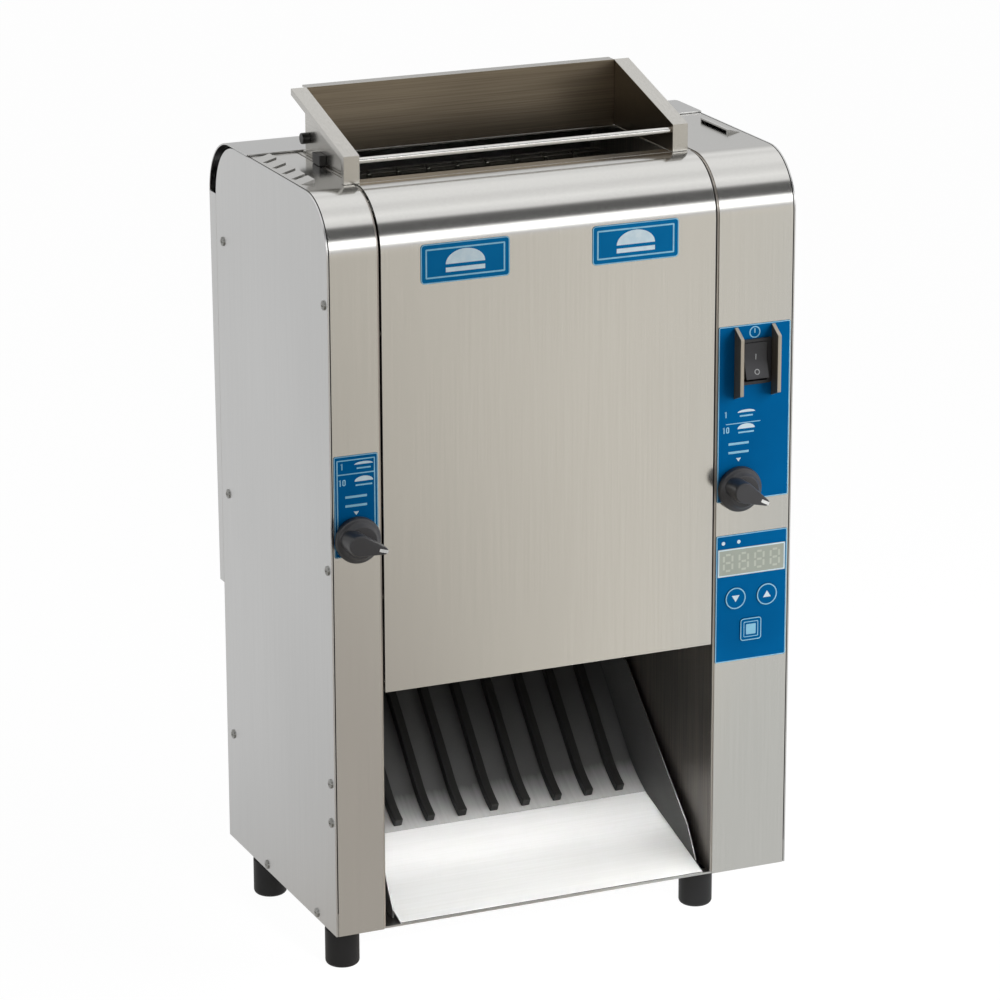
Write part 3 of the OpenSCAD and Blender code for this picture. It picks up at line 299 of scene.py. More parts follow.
@dataclass(frozen=True)
class WorkedMetal(Finish):
    """Metal whose marks run one way: brushed sheet, drawn wire or turned steel."""

    metallic: float = 1.0
    spread: float = 0.08
    tone_ends: Point = (0.75, 1.25)
    grain: Grain = Grain.UPRIGHT
    mark_w: float = 0.9
    mark_len: float = 90.0
    cloud: float = 160.0

    def pattern(self, tree: Tree, shader: Node) -> None:
        """Lay long fine marks and a broad cloud of tone over the metal.

        Args:
            tree: The material's tree.
            shader: Shader that is fed.
        """
        marks = self.mottle(tree, [self.mark_len if along else self.mark_w for along in self.grain.value])
        cloud = self.mottle(tree, [self.cloud] * 3, detail=1.0)
        both = reckon(tree, "ADD", marks, cloud)
        self.feed(tree, shader, self.tint(tree, both, self.tone_ends), marks)


@dataclass(frozen=True)
class Grained(Finish):
    """Surface with an even grain: moulded plastic, rubber, castings, coats and paint."""

    grain_size: float = 0.8
    cloud: float = 25.0

    def pattern(self, tree: Tree, shader: Node) -> None:
        """Lay an even grain over the finish's change of tone.

        Args:
            tree: The material's tree.
            shader: Shader that is fed.
        """
        grain = self.mottle(tree, [self.grain_size] * 3, detail=3.0)
        self.feed(tree, shader, self.tone(tree), grain)

    def tone(self, tree: Tree) -> Socket:
        """Give a soft change of tone over the whole piece."""
        return self.tint(tree, self.mottle(tree, [self.cloud] * 3), self.tone_ends)


@dataclass(frozen=True)
class Scuffed(Grained):
    """Dark coat with pale streaks rubbed along the slide."""

    tone_ends: Point = (0.5, 0.8)
    streak_w: float = 3.0
    streak_len: float = 60.0

    def streaks(self, tree: Tree) -> Socket:
        """Lay streaks that run down the slide."""
        return self.mottle(tree, (self.streak_w, self.streak_len, self.streak_len), detail=4.0)

    def tone(self, tree: Tree) -> Socket:
        """Give the coat its rubbed streaks."""
        return self.tint(tree, self.streaks(tree), self.tone_ends)


@dataclass(frozen=True)
class Worn(Scuffed):
    """Coat painted pale towards the low end of a slide, a painted reflection of the pale tray there; the
    shade is that pale reflected colour.
    """

    sound_above: float = 82.0
    bare_below: float = 50.0
    ragged: float = 6.0

    def tone(self, tree: Tree) -> Socket:
        """Fade the coat into the painted reflection along ragged streaks.

        Args:
            tree: The material's tree.

        Returns:
            Output with the colour.
        """
        place = add_node(tree, "ShaderNodeTexCoord").outputs["Object"]
        height = add_node(tree, "ShaderNodeSeparateXYZ", {0: place}).outputs["Z"]
        torn = reckon(tree, "MULTIPLY_ADD", self.streaks(tree), self.ragged * MM, height)
        rise = self.ragged / 2
        return self.tint(tree, torn, ((self.sound_above + rise) * MM, (self.bare_below + rise) * MM))


@dataclass(frozen=True)
class Woven(Finish):
    """Board of glass cloth under lacquer, whose weave shows as a fine check."""

    tone_ends: Point = (0.15, 0.4)
    thread: float = 0.9
    thread_len: float = 18.0

    def pattern(self, tree: Tree, shader: Node) -> None:
        """Cross two sets of threads.

        Args:
            tree: The material's tree.
            shader: Shader that is fed.
        """
        across = self.mottle(tree, (self.thread_len, self.thread, self.thread))
        upright = self.mottle(tree, (self.thread, self.thread, self.thread_len))
        weave = reckon(tree, "MULTIPLY", across, upright)
        self.feed(tree, shader, self.tint(tree, weave, self.tone_ends), weave)


# Brushing is drawn about 0.9 mm wide, four times the real width, so that it still shows from 3 m
# Plain grey with soft upright lines, on whose bends the room stands in crisp level bands
FRONT_STEEL = WorkedMetal("stainless_sheet_brushed_upright", "stainless_front", "#CAC9C6", "#C6C5C2", 0.16,
                          relief=0.002, spread=0.03)
# Ends of the pressed louvres, drawn dull and grey by the die
PRESSED_STEEL = WorkedMetal("stainless_sheet_pressed", "stainless_front", "#989794", "#8D8C89", 0.5)
# The same sheet in the cooler light of the side, flatter and more even
SIDE_STEEL = WorkedMetal("stainless_sheet_brushed_side", "stainless_side", "#C6C6C5", "#C1C1C0", 0.3,
                         relief=0.001, spread=0.02)
# Folded plates with lines along their depth, a little duller than the body
HOPPER_STEEL = WorkedMetal("stainless_sheet_brushed_level", "stainless_hopper", "#BAB8B3", "#B1AFAA", 0.24,
                           grain=Grain.DEPTH, relief=0.001, spread=0.03)
# Insides of the same plates, painted dark brown as a reflection of the buns and the dark throat
BROWNED_STEEL = WorkedMetal("stainless_sheet_heat_browned", "stainless_hopper", "#7E7465", "#665D50", 0.3,
                            grain=Grain.LEVEL, relief=0.001, spread=0.04)
# Walls beside the chute, dulled by washing so that they also scatter some light
WALL_STEEL = WorkedMetal("stainless_sheet_washed", "stainless_side", "#BBB4AA", "#918C87", 0.3,
                         metallic=0.75, relief=0.001, spread=0.04)
# Thin cut strip that looks brown in its own shade
GUARD_STEEL = WorkedMetal("stainless_strip_cut", "stainless_guard", "#7D7568", "#665F54", 0.5, metallic=0.6)
# Edge of the cut strip, a plain warm grey line
EDGE_STEEL = WorkedMetal("stainless_strip_sheared_edge", "stainless_guard", "#BAB3A8", "#A69F93", 0.36)
# Blasted sheet, pale and almost without a mirror image
TRAY_STEEL = WorkedMetal("stainless_sheet_bead_blasted", "polished_tray", "#F6F6F5", "#F0F0EE", 0.42,
                         metallic=0.1, grain=Grain.LEVEL, mark_w=2.0, relief=0.004)
# Front face of the tray's lip, painted grey as the shade on it, a line against the pale sheet
TRAY_EDGE = WorkedMetal("stainless_sheet_cut_edge", "polished_tray", "#8C8C8A", "#7E7E7C", 0.45,
                        metallic=0.5)
# Dark grey non-stick coat with a dull sheen
SLIDE_COAT = Scuffed("ptfe_coat_baked", "coated_slide", "#636362", "#6D6D6C", 0.4, specular=0.3,
                     relief=0.006)
# The same coat on the slide's face, painted pale near the tray as a painted reflection of the tray
WORN_COAT = Worn("ptfe_coat_worn_through", "coated_slide", "#636362", "#F2F2F0", 0.4, specular=0.3,
                 relief=0.006)
# The same coat on the ribs, painted near black as the shade on them
RIB_COAT = Scuffed("ptfe_coat_baked_ribs", "coated_slide", "#2B2B2A", "#343433", 0.42, specular=0.3,
                   relief=0.01)
# Grey machine screws with a satin plating
SCREW_STEEL = WorkedMetal("zinc_plated_steel_screw", "steel_screw", "#A9A9A6", "#8B8B88", 0.32,
                          mark_w=0.5, mark_len=3.0, cloud=8.0)
# Black rubber that swallows nearly all light and keeps a faint sheen
FOOT_RUBBER = Grained("nitrile_rubber_moulded", "rubber_foot", "#171718", "#121213", 0.5, specular=0.35,
                      relief=0.03)
# Dark grey phenolic with a fine spark-eroded grain and a soft sheen
KNOB_PLASTIC = Grained("phenolic_plastic_moulded", "black_plastic", "#3C3C3F", "#333336", 0.36,
                       relief=0.01)
# Smoother black nylon of the switch and the gland
NYLON = Grained("nylon_injection_moulded", "black_plastic", "#2E2E31", "#272729", 0.38, specular=0.4,
                relief=0.012)
# Black plastic of the catches, painted a deeper black as the shade under the hopper's fold
ACETAL = Grained("acetal_injection_moulded", "black_plastic", "#1F1F1E", "#191918", 0.36, relief=0.012)
# Blue printed polyester film, matt enough to mirror almost nothing
BLUE_FILM = Grained("polyester_film_screen_printed", "blue_print", "#0065A2", "#00609B", 0.5, specular=0.03,
                    relief=0.004, cloud=40.0)
# The same blue film on the cover's plates, painted lighter for the stronger light that falls on them
CROWN_FILM = Grained("polyester_film_light_print", "blue_print", "#0E73AE", "#0B6DA6", 0.5, specular=0.03,
                     relief=0.004, cloud=40.0)
# Pale inks, a little uneven as screen print is, and tinted by the blue under them
WHITE_INK = Grained("white_ink_screen_printed", "blue_print", "#E2F2F9", "#D6EAF3", 0.5, specular=0.05,
                    relief=0.004, cloud=6.0)
PALE_INK = Grained("pale_blue_ink_screen_printed", "blue_print", "#9FD6EE", "#92CCE6", 0.5, specular=0.05,
                   relief=0.004, cloud=6.0)
# Clean white of the filled pointers
FILL_PAINT = Grained("acrylic_paint_filled", "black_plastic", "#F4F4F2", "#ECECEA", 0.5, relief=0.004)
# Grey marks of the rocker, dulled by fingers
GREY_INK = Grained("grey_ink_pad_printed", "black_plastic", "#A9AAAB", "#9C9D9E", 0.5, relief=0.004)
# Grey-green liquid crystal behind acrylic, with a glassy top
LENS = Grained("acrylic_sheet_cast", "display_lens", "#B1B7AC", "#AAB0A5", 0.24, coat=0.1, specular=0.2,
               relief=0.002)
# Digits at rest, a shade paler than the display round them
GHOST = Grained("liquid_crystal_segment", "display_lens", "#C9CEC2", "#C2C7BB", 0.24, specular=0.2,
                relief=0.002)
# Green lacquered board whose weave just shows
BOARD = Woven("glass_epoxy_laminate", "circuit_board", "#1F5A3A", "#184A30", 0.4)
# Dull grey casting with a sandy skin
PLATEN_ALLOY = Grained("aluminium_sand_cast", "cast_platen", "#9C9C98", "#85857F", 0.5, metallic=1.0,
                       grain_size=1.5, relief=0.12)
# Heating rods browned by their own heat
HEATER_STEEL = WorkedMetal("nickel_alloy_tube_drawn", "heater_sheath", "#5E5148", "#453D38", 0.45,
                           grain=Grain.LEVEL)
# Porous golden bushes
BRONZE = Grained("bronze_sintered", "bronze_bush", "#A9814A", "#8C6736", 0.45, metallic=1.0, relief=0.04)
# Dark green enamel with a slight orange peel
MOTOR_PAINT = Grained("enamel_paint_sprayed", "motor_paint", "#3A463F", "#303A34", 0.35, grain_size=2.0,
                      relief=0.02)
# Bright hard wire with draw lines along it
BELT_WIRE = WorkedMetal("stainless_wire_drawn", "belt_wire", "#B7B4AD", "#94918A", 0.28, grain=Grain.LEVEL,
                        mark_w=0.4)
# Grey pressed strip of the belt frames, dull from its pickling
FRAME_STEEL = WorkedMetal("stainless_strip_pickled", "frame_steel", "#A3A29E", "#8A8984", 0.42)
# Turned and hobbed steel with rings round the shafts
GEAR_STEEL = WorkedMetal("carbon_steel_machined", "gear_steel", "#96948F", "#7A7872", 0.3,
                         grain=Grain.ROUND_X, mark_w=0.5)
# Round bar drawn bright, a thin line of light across the hopper
ROD_STEEL = WorkedMetal("stainless_bar_ground", "stainless_hopper", "#D9D8D5", "#C3C2BF", 0.18,
                        grain=Grain.ROUND_X, mark_w=0.5)


def weld(bm: Mesh) -> None:
    """Join the doubled points that a faceted file leaves along its edges."""
    bmesh.ops.remove_doubles(bm, verts=bm.verts, dist=WELD_M)


def node_mesh(node: str) -> Mesh:
    """Copy a CAD node's mesh, with its points welded.

    Args:
        node: Name of the CAD node.

    Returns:
        The copy, which the caller frees or hands on.
    """
    bm = bmesh.new()
    bm.from_mesh(frame["nodes"][node].data)
    weld(bm)
    return bm


def islands(node: str) -> list[Box]:
    """Find the boxes of a node's separate solids.

    Args:
        node: Name of the CAD node.

    Returns:
        Low and high corner of each, from left to right and then from the top down.
    """
    bm = node_mesh(node)
    loose = set(bm.verts)
    boxes: list[Box] = []
    while loose:
        group = {loose.pop()}
        edge_of_group = list(group)
        while edge_of_group:
            vert = edge_of_group.pop()
            near = {edge.other_vert(vert) for edge in vert.link_edges} - group
            group |= near
            edge_of_group.extend(near)
        loose -= group
        spans = [[vert.co[axis] for vert in group] for axis in range(3)]
        boxes.append((Vector(map(min, spans)), Vector(map(max, spans))))
    bm.free()
    return sorted(boxes, key=lambda box: (round(box[0].x, 3), -box[1].z))


def skin_at(node: str, x_m: float, z_m: float) -> Matrix:
    """Find the front skin of a node and a flat place on it.

    Args:
        node: Name of the CAD node.
        x_m: Place across.
        z_m: Place in height.

    Returns:
        Matrix from local millimetres to the frame, with local Z out of the skin.
    """
    bm = node_mesh(node)
    start = Vector((x_m, FAR_FRONT_M, z_m))
    spot, normal, _, _ = BVHTree.FromBMesh(bm).ray_cast(start, Vector((0, 1, 0)))
    bm.free()
    across = Vector((1, 0, 0))
    rise = normal.cross(across).normalized()
    axes = Matrix([across * MM, rise * MM, normal * MM]).transposed()
    return Matrix.Translation(spot) @ axes.to_4x4()


def middle(box: Box) -> Vector:
    """Give the middle of a box."""
    return (box[0] + box[1]) / 2


def size_of(box: Box) -> Vector:
    """Give the size of a box in millimetres."""
    return (box[1] - box[0]) / MM


def front_of(box: Box, share: float = 0.5) -> Matrix:
    """Give a place for drawing on the front of a box, midway across it.

    Args:
        box: The box.
        share: Share of its height at which the place lies.

    Returns:
        Matrix from local millimetres to the frame.
    """
    low, high = box
    return Facing.FRONT.at(Vector((middle(box).x, low.y, low.z + share * (high.z - low.z))))


def arc(centre: Point, radius: float, start: float, sweep: float, steps: int = ARC_STEPS) -> Outline:
    """Give points on a circular arc.

    Args:
        centre: Middle of the circle.
        radius: Its radius.
        start: First angle in degrees.
        sweep: Angle covered in degrees.
        steps: Number of stretches.

    Returns:
        The points, both ends included.
    """
    angles = [math.radians(start + sweep * i / steps) for i in range(steps + 1)]
    return [(centre[0] + radius * math.cos(a), centre[1] + radius * math.sin(a)) for a in angles]


def circle(radius: float, centre: Point = (0, 0), steps: int = CIRCLE_STEPS) -> Outline:
    """Give a round outline with its points once."""
    return arc(centre, radius, 0, 360, steps)[:-1]


def rounded(width: float, height: float, radius: float, centre: Point = (0, 0)) -> Outline:
    """Give a rectangle with round corners.

    Args:
        width: Size across.
        height: Size upright.
        radius: Radius of the corners.
        centre: Middle of the rectangle.

    Returns:
        The outline, anticlockwise.
    """
    half_w = width / 2 - radius
    half_h = height / 2 - radius
    corners = ((half_w, half_h), (-half_w, half_h), (-half_w, -half_h), (half_w, -half_h))
    points: Outline = []
    for turn, (x, y) in enumerate(corners):
        points += arc((centre[0] + x, centre[1] + y), radius, 90 * turn, 90)
    return points


def dome(width: float, height: float, centre: Point) -> Outline:
    """Give a half ellipse that stands on its flat side.

    Args:
        width: Size of the flat side.
        height: Size upright.
        centre: Middle of the flat side.

    Returns:
        The outline, anticlockwise.
    """
    half_round = arc((0, 0), 1, 0, 180, DOME_STEPS)
    return [(centre[0] + x * width / 2, centre[1] + y * height) for x, y in half_round]


def skin(bm: Mesh, rings: list[list[bmesh.types.BMVert]], joined: bool = False) -> None:
    """Lay faces from each ring of points to the next.

    Args:
        bm: Mesh that gets the faces.
        rings: Rings with equal numbers of points.
        joined: Whether the last ring meets the first; otherwise a face closes each end.
    """
    for here, there in zip(rings, rings[1:] + (rings[:1] if joined else [])):
        for i in range(len(here)):
            bm.faces.new((here[i - 1], here[i], there[i], there[i - 1]))
    if not joined:
        bm.faces.new(reversed(rings[0]))
        bm.faces.new(rings[-1])


def prism(bm: Mesh, place: Matrix, outline: Outline, low: float, high: float) -> None:
    """Add a solid with straight sides.

    Args:
        bm: Mesh that gets it.
        place: Matrix from local millimetres.
        outline: Its outline, anticlockwise.
        low: Local height of its back.
        high: Local height of its front.
    """
    loft(bm, place, [(outline, low), (outline, high)])


def loft(bm: Mesh, place: Matrix, sections: list[tuple[Outline, float]]) -> None:
    """Add a solid through outlines at rising heights, closed at both ends.

    Args:
        bm: Mesh that gets it.
        place: Matrix from local millimetres.
        sections: Outlines with equal numbers of points, each with its local height.
    """
    skin(bm, [[bm.verts.new(place @ Vector((x, y, z))) for x, y in outline] for outline, z in sections])


def hoop(bm: Mesh, place: Matrix, outer: Outline, inner: Outline, high: float) -> None:
    """Add a flat band between two outlines.

    Args:
        bm: Mesh that gets it.
        place: Matrix from local millimetres.
        outer: Its outside.
        inner: Its inside, with as many points.
        high: Its thickness.
    """
    levels = [(outer, 0.0), (outer, high), (inner, high), (inner, 0.0)]
    skin(bm, [[bm.verts.new(place @ Vector((x, y, z))) for x, y in line] for line, z in levels], joined=True)


def lathe(bm: Mesh, place: Matrix, profile: Outline, steps: int = LATHE_STEPS) -> None:
    """Turn a profile about the local Z axis.

    Args:
        bm: Mesh that gets the solid.
        place: Matrix from local millimetres.
        profile: Radius and height of each corner; a radius of 0 closes an end.
        steps: Number of facets round.
    """
    rings = []
    for radius, height in profile:
        spots = circle(radius, steps=steps) if radius > 0 else [(0.0, 0.0)]
        rings.append([bm.verts.new(place @ Vector((x, y, height))) for x, y in spots])
    for low, high in zip(rings, rings[1:]):
        for i in range(steps):
            lower = [low[k % len(low)] for k in (i, i + 1)]
            upper = [high[k % len(high)] for k in (i + 1, i)]
            bm.faces.new(list(dict.fromkeys(lower + upper)))


def tube(bm: Mesh, route: list[Vector], outward: list[Vector], radius_m: float,
         sides: int = 6) -> None:
    """Add a round wire along a route.

    Args:
        bm: Mesh that gets it.
        route: Points on its middle line, in metres.
        outward: A direction at each point that is square to the route.
        radius_m: Radius of the wire.
        sides: Number of facets round.
    """
    facets = circle(radius_m, steps=sides)
    rings = []
    for i, (spot, out) in enumerate(zip(route, outward)):
        ahead = (route[min(i + 1, len(route) - 1)] - route[max(i - 1, 0)]).normalized()
        side = ahead.cross(out).normalized()
        rings.append([bm.verts.new(spot + x * out + y * side) for x, y in facets])
    skin(bm, rings)


@dataclass
class InkSheet:
    """Ink on one flat place: thin closed solids in one colour, drawn from a local origin.

    The digits' sizes are shares of their height: their pitch, a nought's width and corner radius, and the
    low and high end of a one's flag.
    """

    place: Matrix
    thick: float = 0.06
    least_r: float = 0.1
    bar_r: float = 0.2
    digit_pitch: float = 0.62
    nought_w: float = 0.55
    nought_r: float = 0.25
    flag_ends: Point = (0.3, 0.46)
    flag_line: float = 0.8
    bm: Mesh = field(default_factory=bmesh.new)

    def fill(self, outline: Outline) -> None:
        """Fill an outline with ink."""
        prism(self.bm, self.place, outline, 0, self.thick)

    def frame_line(self, width: float, height: float, line: float, radius: float,
                   centre: Point = (0, 0)) -> None:
        """Draw a frame.

        Args:
            width: Outer size across.
            height: Outer size upright.
            line: Width of the line.
            radius: Outer corner radius.
            centre: Middle of the frame.
        """
        outer = rounded(width, height, radius, centre)
        inner = rounded(width - 2 * line, height - 2 * line, max(radius - line, self.least_r), centre)
        hoop(self.bm, self.place, outer, inner, self.thick)

    def ring(self, radius: float, line: float, centre: Point = (0, 0)) -> None:
        """Draw a ring line inside the given radius."""
        hoop(self.bm, self.place, circle(radius, centre), circle(radius - line, centre), self.thick)

    def stroke(self, start: Point, end: Point, line: float) -> None:
        """Draw a straight line with square ends.

        Args:
            start: One end of its middle line.
            end: The other end.
            line: Its width.
        """
        length = math.dist(start, end)
        side_x = (start[1] - end[1]) / length * line / 2
        side_y = (end[0] - start[0]) / length * line / 2
        self.fill([(start[0] - side_x, start[1] - side_y), (end[0] - side_x, end[1] - side_y),
                   (end[0] + side_x, end[1] + side_y), (start[0] + side_x, start[1] + side_y)])

    def triangle(self, width: float, height: float, centre: Point) -> None:
        """Draw a triangle that points up, or down where the height is negative.

        Args:
            width: Length of its level side.
            height: Height from that side to its tip.
            centre: Middle of its box.
        """
        foot = centre[1] - height / 2
        corners = [(centre[0] - width / 2, foot), (centre[0] + width / 2, foot), (centre[0], foot + height)]
        self.fill(corners if height > 0 else corners[::-1])

    def bar(self, width: float, height: float, centre: Point) -> None:
        """Draw a plain bar, where a word stands on such a plate."""
        self.fill(rounded(width, height, self.bar_r, centre))

    def number(self, digits: str, height: float, centre: Point, line: float) -> None:
        """Draw a plain number made of ones and noughts.

        Args:
            digits: The number.
            height: Height of a digit.
            centre: Middle of the number.
            line: Width of the strokes.
        """
        y = centre[1]
        for i, digit in enumerate(digits):
            x = centre[0] + height * self.digit_pitch * (i - (len(digits) - 1) / 2)
            if digit == "0":
                self.frame_line(height * self.nought_w, height, line, height * self.nought_r, (x, y))
            else:
                self.stroke((x, y - height / 2), (x, y + height / 2), line)
                low, high = (y + height * share for share in self.flag_ends)
                self.stroke((x - line, low), (x, high), line * self.flag_line)

    def segments(self, width: float, height: float, line: float, centre: Point) -> None:
        """Draw all seven bars of a display digit.

        Args:
            width: Width of the digit.
            height: Height of the digit.
            line: Width of a bar.
            centre: Middle of the digit.
        """
        reach_x = width / 2 - line
        reach_y = height / 2 - line
        for row in (-1, 0, 1):
            y = centre[1] + row * height / 2
            self.stroke((centre[0] - reach_x, y), (centre[0] + reach_x, y), line)
        for side in (-1, 1):
            for half in (-1, 1):
                x = centre[0] + side * width / 2
                y = centre[1] + half * height / 4
                self.stroke((x, y - reach_y / 2), (x, y + reach_y / 2), line)


@dataclass
class SubAssembly:
    """Pieces that belong together. A subclass holds their sizes and builds and dresses them."""

    soft_edge: float = 0.3
    film_edge: float = 0.1
    sharp_deg: float = 32.0
    flat_deg: float = 0.2

    def build(self) -> None:
        """Build and dress the pieces; each sub-assembly has its own."""
        raise NotImplementedError

    def add(self, name: str, bm: Mesh, finish: Finish, body: str,
            replaced: Iterable[str] = ()) -> Piece:
        """Turn a mesh into a finished piece that rides on a body.

        Args:
            name: Name of the piece.
            bm: Its mesh, which is used up.
            finish: Its finish.
            body: Body that carries it.
            replaced: CAD nodes that it stands for.

        Returns:
            The object.
        """
        bmesh.ops.recalc_face_normals(bm, faces=bm.faces)
        mesh = bpy.data.meshes.new(name)
        bm.to_mesh(mesh)
        bm.free()
        mesh.shade_smooth()
        mesh.set_sharp_from_angle(angle=math.radians(self.sharp_deg))
        mesh.materials.append(finish.material())
        piece = link_object(name, mesh)
        even = piece.modifiers.new("even_normals", "WEIGHTED_NORMAL")
        even.keep_sharp = True
        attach(piece, body)
        if replaced:
            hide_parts(*replaced)
        LOG.info("%s: made %s", type(self).__name__, name)
        return piece

    def soften(self, node: str, name: str, finish: Finish, edge: float | None = None) -> Piece:
        """Stand in for a CAD node with a copy whose edges are broken.

        Args:
            node: CAD node that is copied and replaced.
            name: Name of the new piece.
            finish: Its finish.
            edge: Width of the broken edges, or None for the sub-assembly's own.

        Returns:
            The new piece.
        """
        bm = node_mesh(node)
        bmesh.ops.dissolve_limit(bm, angle_limit=math.radians(self.flat_deg), verts=bm.verts, edges=bm.edges)
        sharp = [line for line in bm.edges
                 if line.is_manifold and line.calc_face_angle() > math.radians(self.sharp_deg)]
        width = (self.soft_edge if edge is None else edge) * MM
        bmesh.ops.bevel(bm, geom=sharp, offset=width, offset_type="OFFSET", segments=2, profile=0.5,
                        affect="EDGES", clamp_overlap=True)
        return self.add(name, bm, finish, frame["nodes"][node]["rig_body"], [node])

    def reface(self, piece: Piece, finish: Finish, way: Vector, lean: float,
               behind_m: float = -math.inf) -> None:
        """Give the faces that look one way another finish.

        Args:
            piece: The piece.
            finish: Their finish.
            way: Direction that they look.
            lean: Least share of the normal along it.
            behind_m: Depth in the frame behind which faces count.
        """
        piece.data.materials.append(finish.material())
        last = len(piece.data.materials) - 1
        for face in piece.data.polygons:
            if face.normal.dot(way) > lean and face.center.y > behind_m:
                face.material_index = last

    def dress(self, finish: Finish, *nodes: str) -> None:
        """Give CAD nodes a finish and leave their shape alone.

        Args:
            finish: The finish.
            *nodes: Names of the CAD nodes.
        """
        for node in nodes:
            piece = frame["nodes"][node]
            if not piece.material_slots:
                piece.data.materials.append(finish.material())
            for place in piece.material_slots:
                place.link = "OBJECT"
                place.material = finish.material()
            LOG.info("%s: dressed %s", type(self).__name__, node)


@dataclass
class Casing(SubAssembly):
    """Fixed sheet metal of the housing with its feet and screws."""

    thin_edge: float = 0.2
    gland_edge: float = 0.5
    bend_depth: float = 46.0
    louvre_lean: float = 0.12
    foot_round: float = 3.6
    foot_groove: float = 1.0
    head_h: float = 1.8
    head_rise: float = 0.9
    head_rings: int = 12
    head_facets: int = 40
    recess_len: float = 2.3
    recess_w: float = 0.55
    recess_depth: float = 0.8

    def build(self) -> None:
        """Build the panels, towers, walls, feet and screws."""
        for side in ("left", "right"):
            self.soften(f"{side}_side_panel", f"{side}_side_sheet", SIDE_STEEL)
            tower = self.soften(f"{side}_tower_shell", f"{side}_tower_sheet", FRONT_STEEL)
            bend_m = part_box(f"{side}_tower_shell")[0].y + self.bend_depth * MM
            self.reface(tower, PRESSED_STEEL, Vector((0, -1, 0)), self.louvre_lean, bend_m)
            self.soften(f"{side}_inner_wall", f"{side}_wall_sheet", WALL_STEEL, self.thin_edge)
        self.soften("top_plate", "throat_sheet", HOPPER_STEEL, self.thin_edge)
        self.soften("rear_lower_panel", "rear_lower_sheet", SIDE_STEEL)
        self.soften("base_pan", "base_sheet", SIDE_STEEL, self.thin_edge)
        self.soften("cord_gland", "lead_gland", NYLON, self.gland_edge)
        self.dress(FRAME_STEEL, "tie_bars", "rear_posts")
        self.feet()
        self.screws()

    def feet(self) -> None:
        """Turn the four feet with a rounded tread and a moulded groove."""
        bm = bmesh.new()
        for foot in islands("feet"):
            radius = size_of(foot).x / 2
            height = size_of(foot).z
            spot = Vector((middle(foot).x, middle(foot).y, foot[0].z))
            tread = arc((radius - self.foot_round, self.foot_round), self.foot_round, -90, 90)
            top = height - 4 * self.foot_groove
            groove = [(radius, top), (radius - self.foot_groove, top + self.foot_groove / 2),
                      (radius - self.foot_groove, top + 1.5 * self.foot_groove),
                      (radius, top + 2 * self.foot_groove)]
            lathe(bm, Facing.UP.at(spot), [(0, 0), *tread, *groove, (radius, height), (0, height)])
        self.add("rubber_feet", bm, FOOT_RUBBER, "housing", ["feet"])

    def screws(self) -> None:
        """Place a cross-recessed head on every panel screw."""
        bm = bmesh.new()
        for low, high in islands("panel_screws"):
            spot = middle((low, high))
            radius = size_of((low, high)).z / 2
            if spot.x < 0:
                face = Facing.LEFT.at(Vector((low.x + self.head_h * MM, spot.y, spot.z)))
            else:
                face = Facing.RIGHT.at(Vector((high.x - self.head_h * MM, spot.y, spot.z)))
            self.screw_head(bm, face, radius)
        self.add("screw_heads", bm, SCREW_STEEL, "housing", ["panel_screws"])

    def screw_head(self, bm: Mesh, face: Matrix, radius: float) -> None:
        """Turn one domed head and press the cross into it.

        Args:
            bm: Mesh that gets the head.
            face: Matrix from local millimetres, with local Z out of the panel.
            radius: Radius of the head.
        """
        shares = [i / self.head_rings for i in range(self.head_rings + 1)]
        profile = [(radius * share, self.head_h - self.head_rise * share ** 2) for share in shares]
        first = len(bm.verts)
        lathe(bm, face, [*profile, (radius, 0), (0, 0)], self.head_facets)
        bm.verts.ensure_lookup_table()
        back = face.inverted()
        push = face.to_3x3() @ Vector((0, 0, -self.recess_depth))
        for vert in bm.verts[first:]:
            spot = back @ vert.co
            short, long = sorted((abs(spot.x), abs(spot.y)))
            if spot.z > self.head_h - self.head_rise and short < self.recess_w and long < self.recess_len:
                vert.co += push


@dataclass
class Covers(SubAssembly):
    """Front cover with its two printed plates, and rear cover."""

    edge_gap: float = 0.3
    edge_line: float = 0.7
    edge_r: float = 2.8
    frame_gap: float = 7.4
    frame_line: float = 1.2
    frame_r: float = 0.8
    dome_w: float = 31.0
    dome_h: float = 10.6
    dome_foot: float = -1.4
    row_w: float = 31.0
    row_h: float = 3.4
    row_z: float = -5.6

    def build(self) -> None:
        """Build both covers and the plates' print."""
        self.soften("front_cover", "front_cover_sheet", FRONT_STEEL)
        self.soften("rear_cover", "rear_cover_sheet", SIDE_STEEL)
        # The cover's plates are painted a lighter blue for the stronger light on them
        self.soften("crown_labels", "crown_plates", CROWN_FILM, self.film_edge)
        for side, plate in zip(("left", "right"), islands("crown_labels")):
            width, _, height = size_of(plate)
            lines = InkSheet(front_of(plate))
            lines.frame_line(width - self.edge_gap, height - self.edge_gap, self.edge_line, self.edge_r)
            lines.frame_line(width - self.frame_gap, height - self.frame_gap, self.frame_line, self.frame_r)
            self.add(f"{side}_crown_lines", lines.bm, PALE_INK, "front_cover")
            icon = InkSheet(front_of(plate))
            icon.fill(dome(self.dome_w, self.dome_h, (0, self.dome_foot)))
            icon.bar(self.row_w, self.row_h, (0, self.row_z))
            self.add(f"{side}_crown_icon", icon.bm, WHITE_INK, "front_cover")


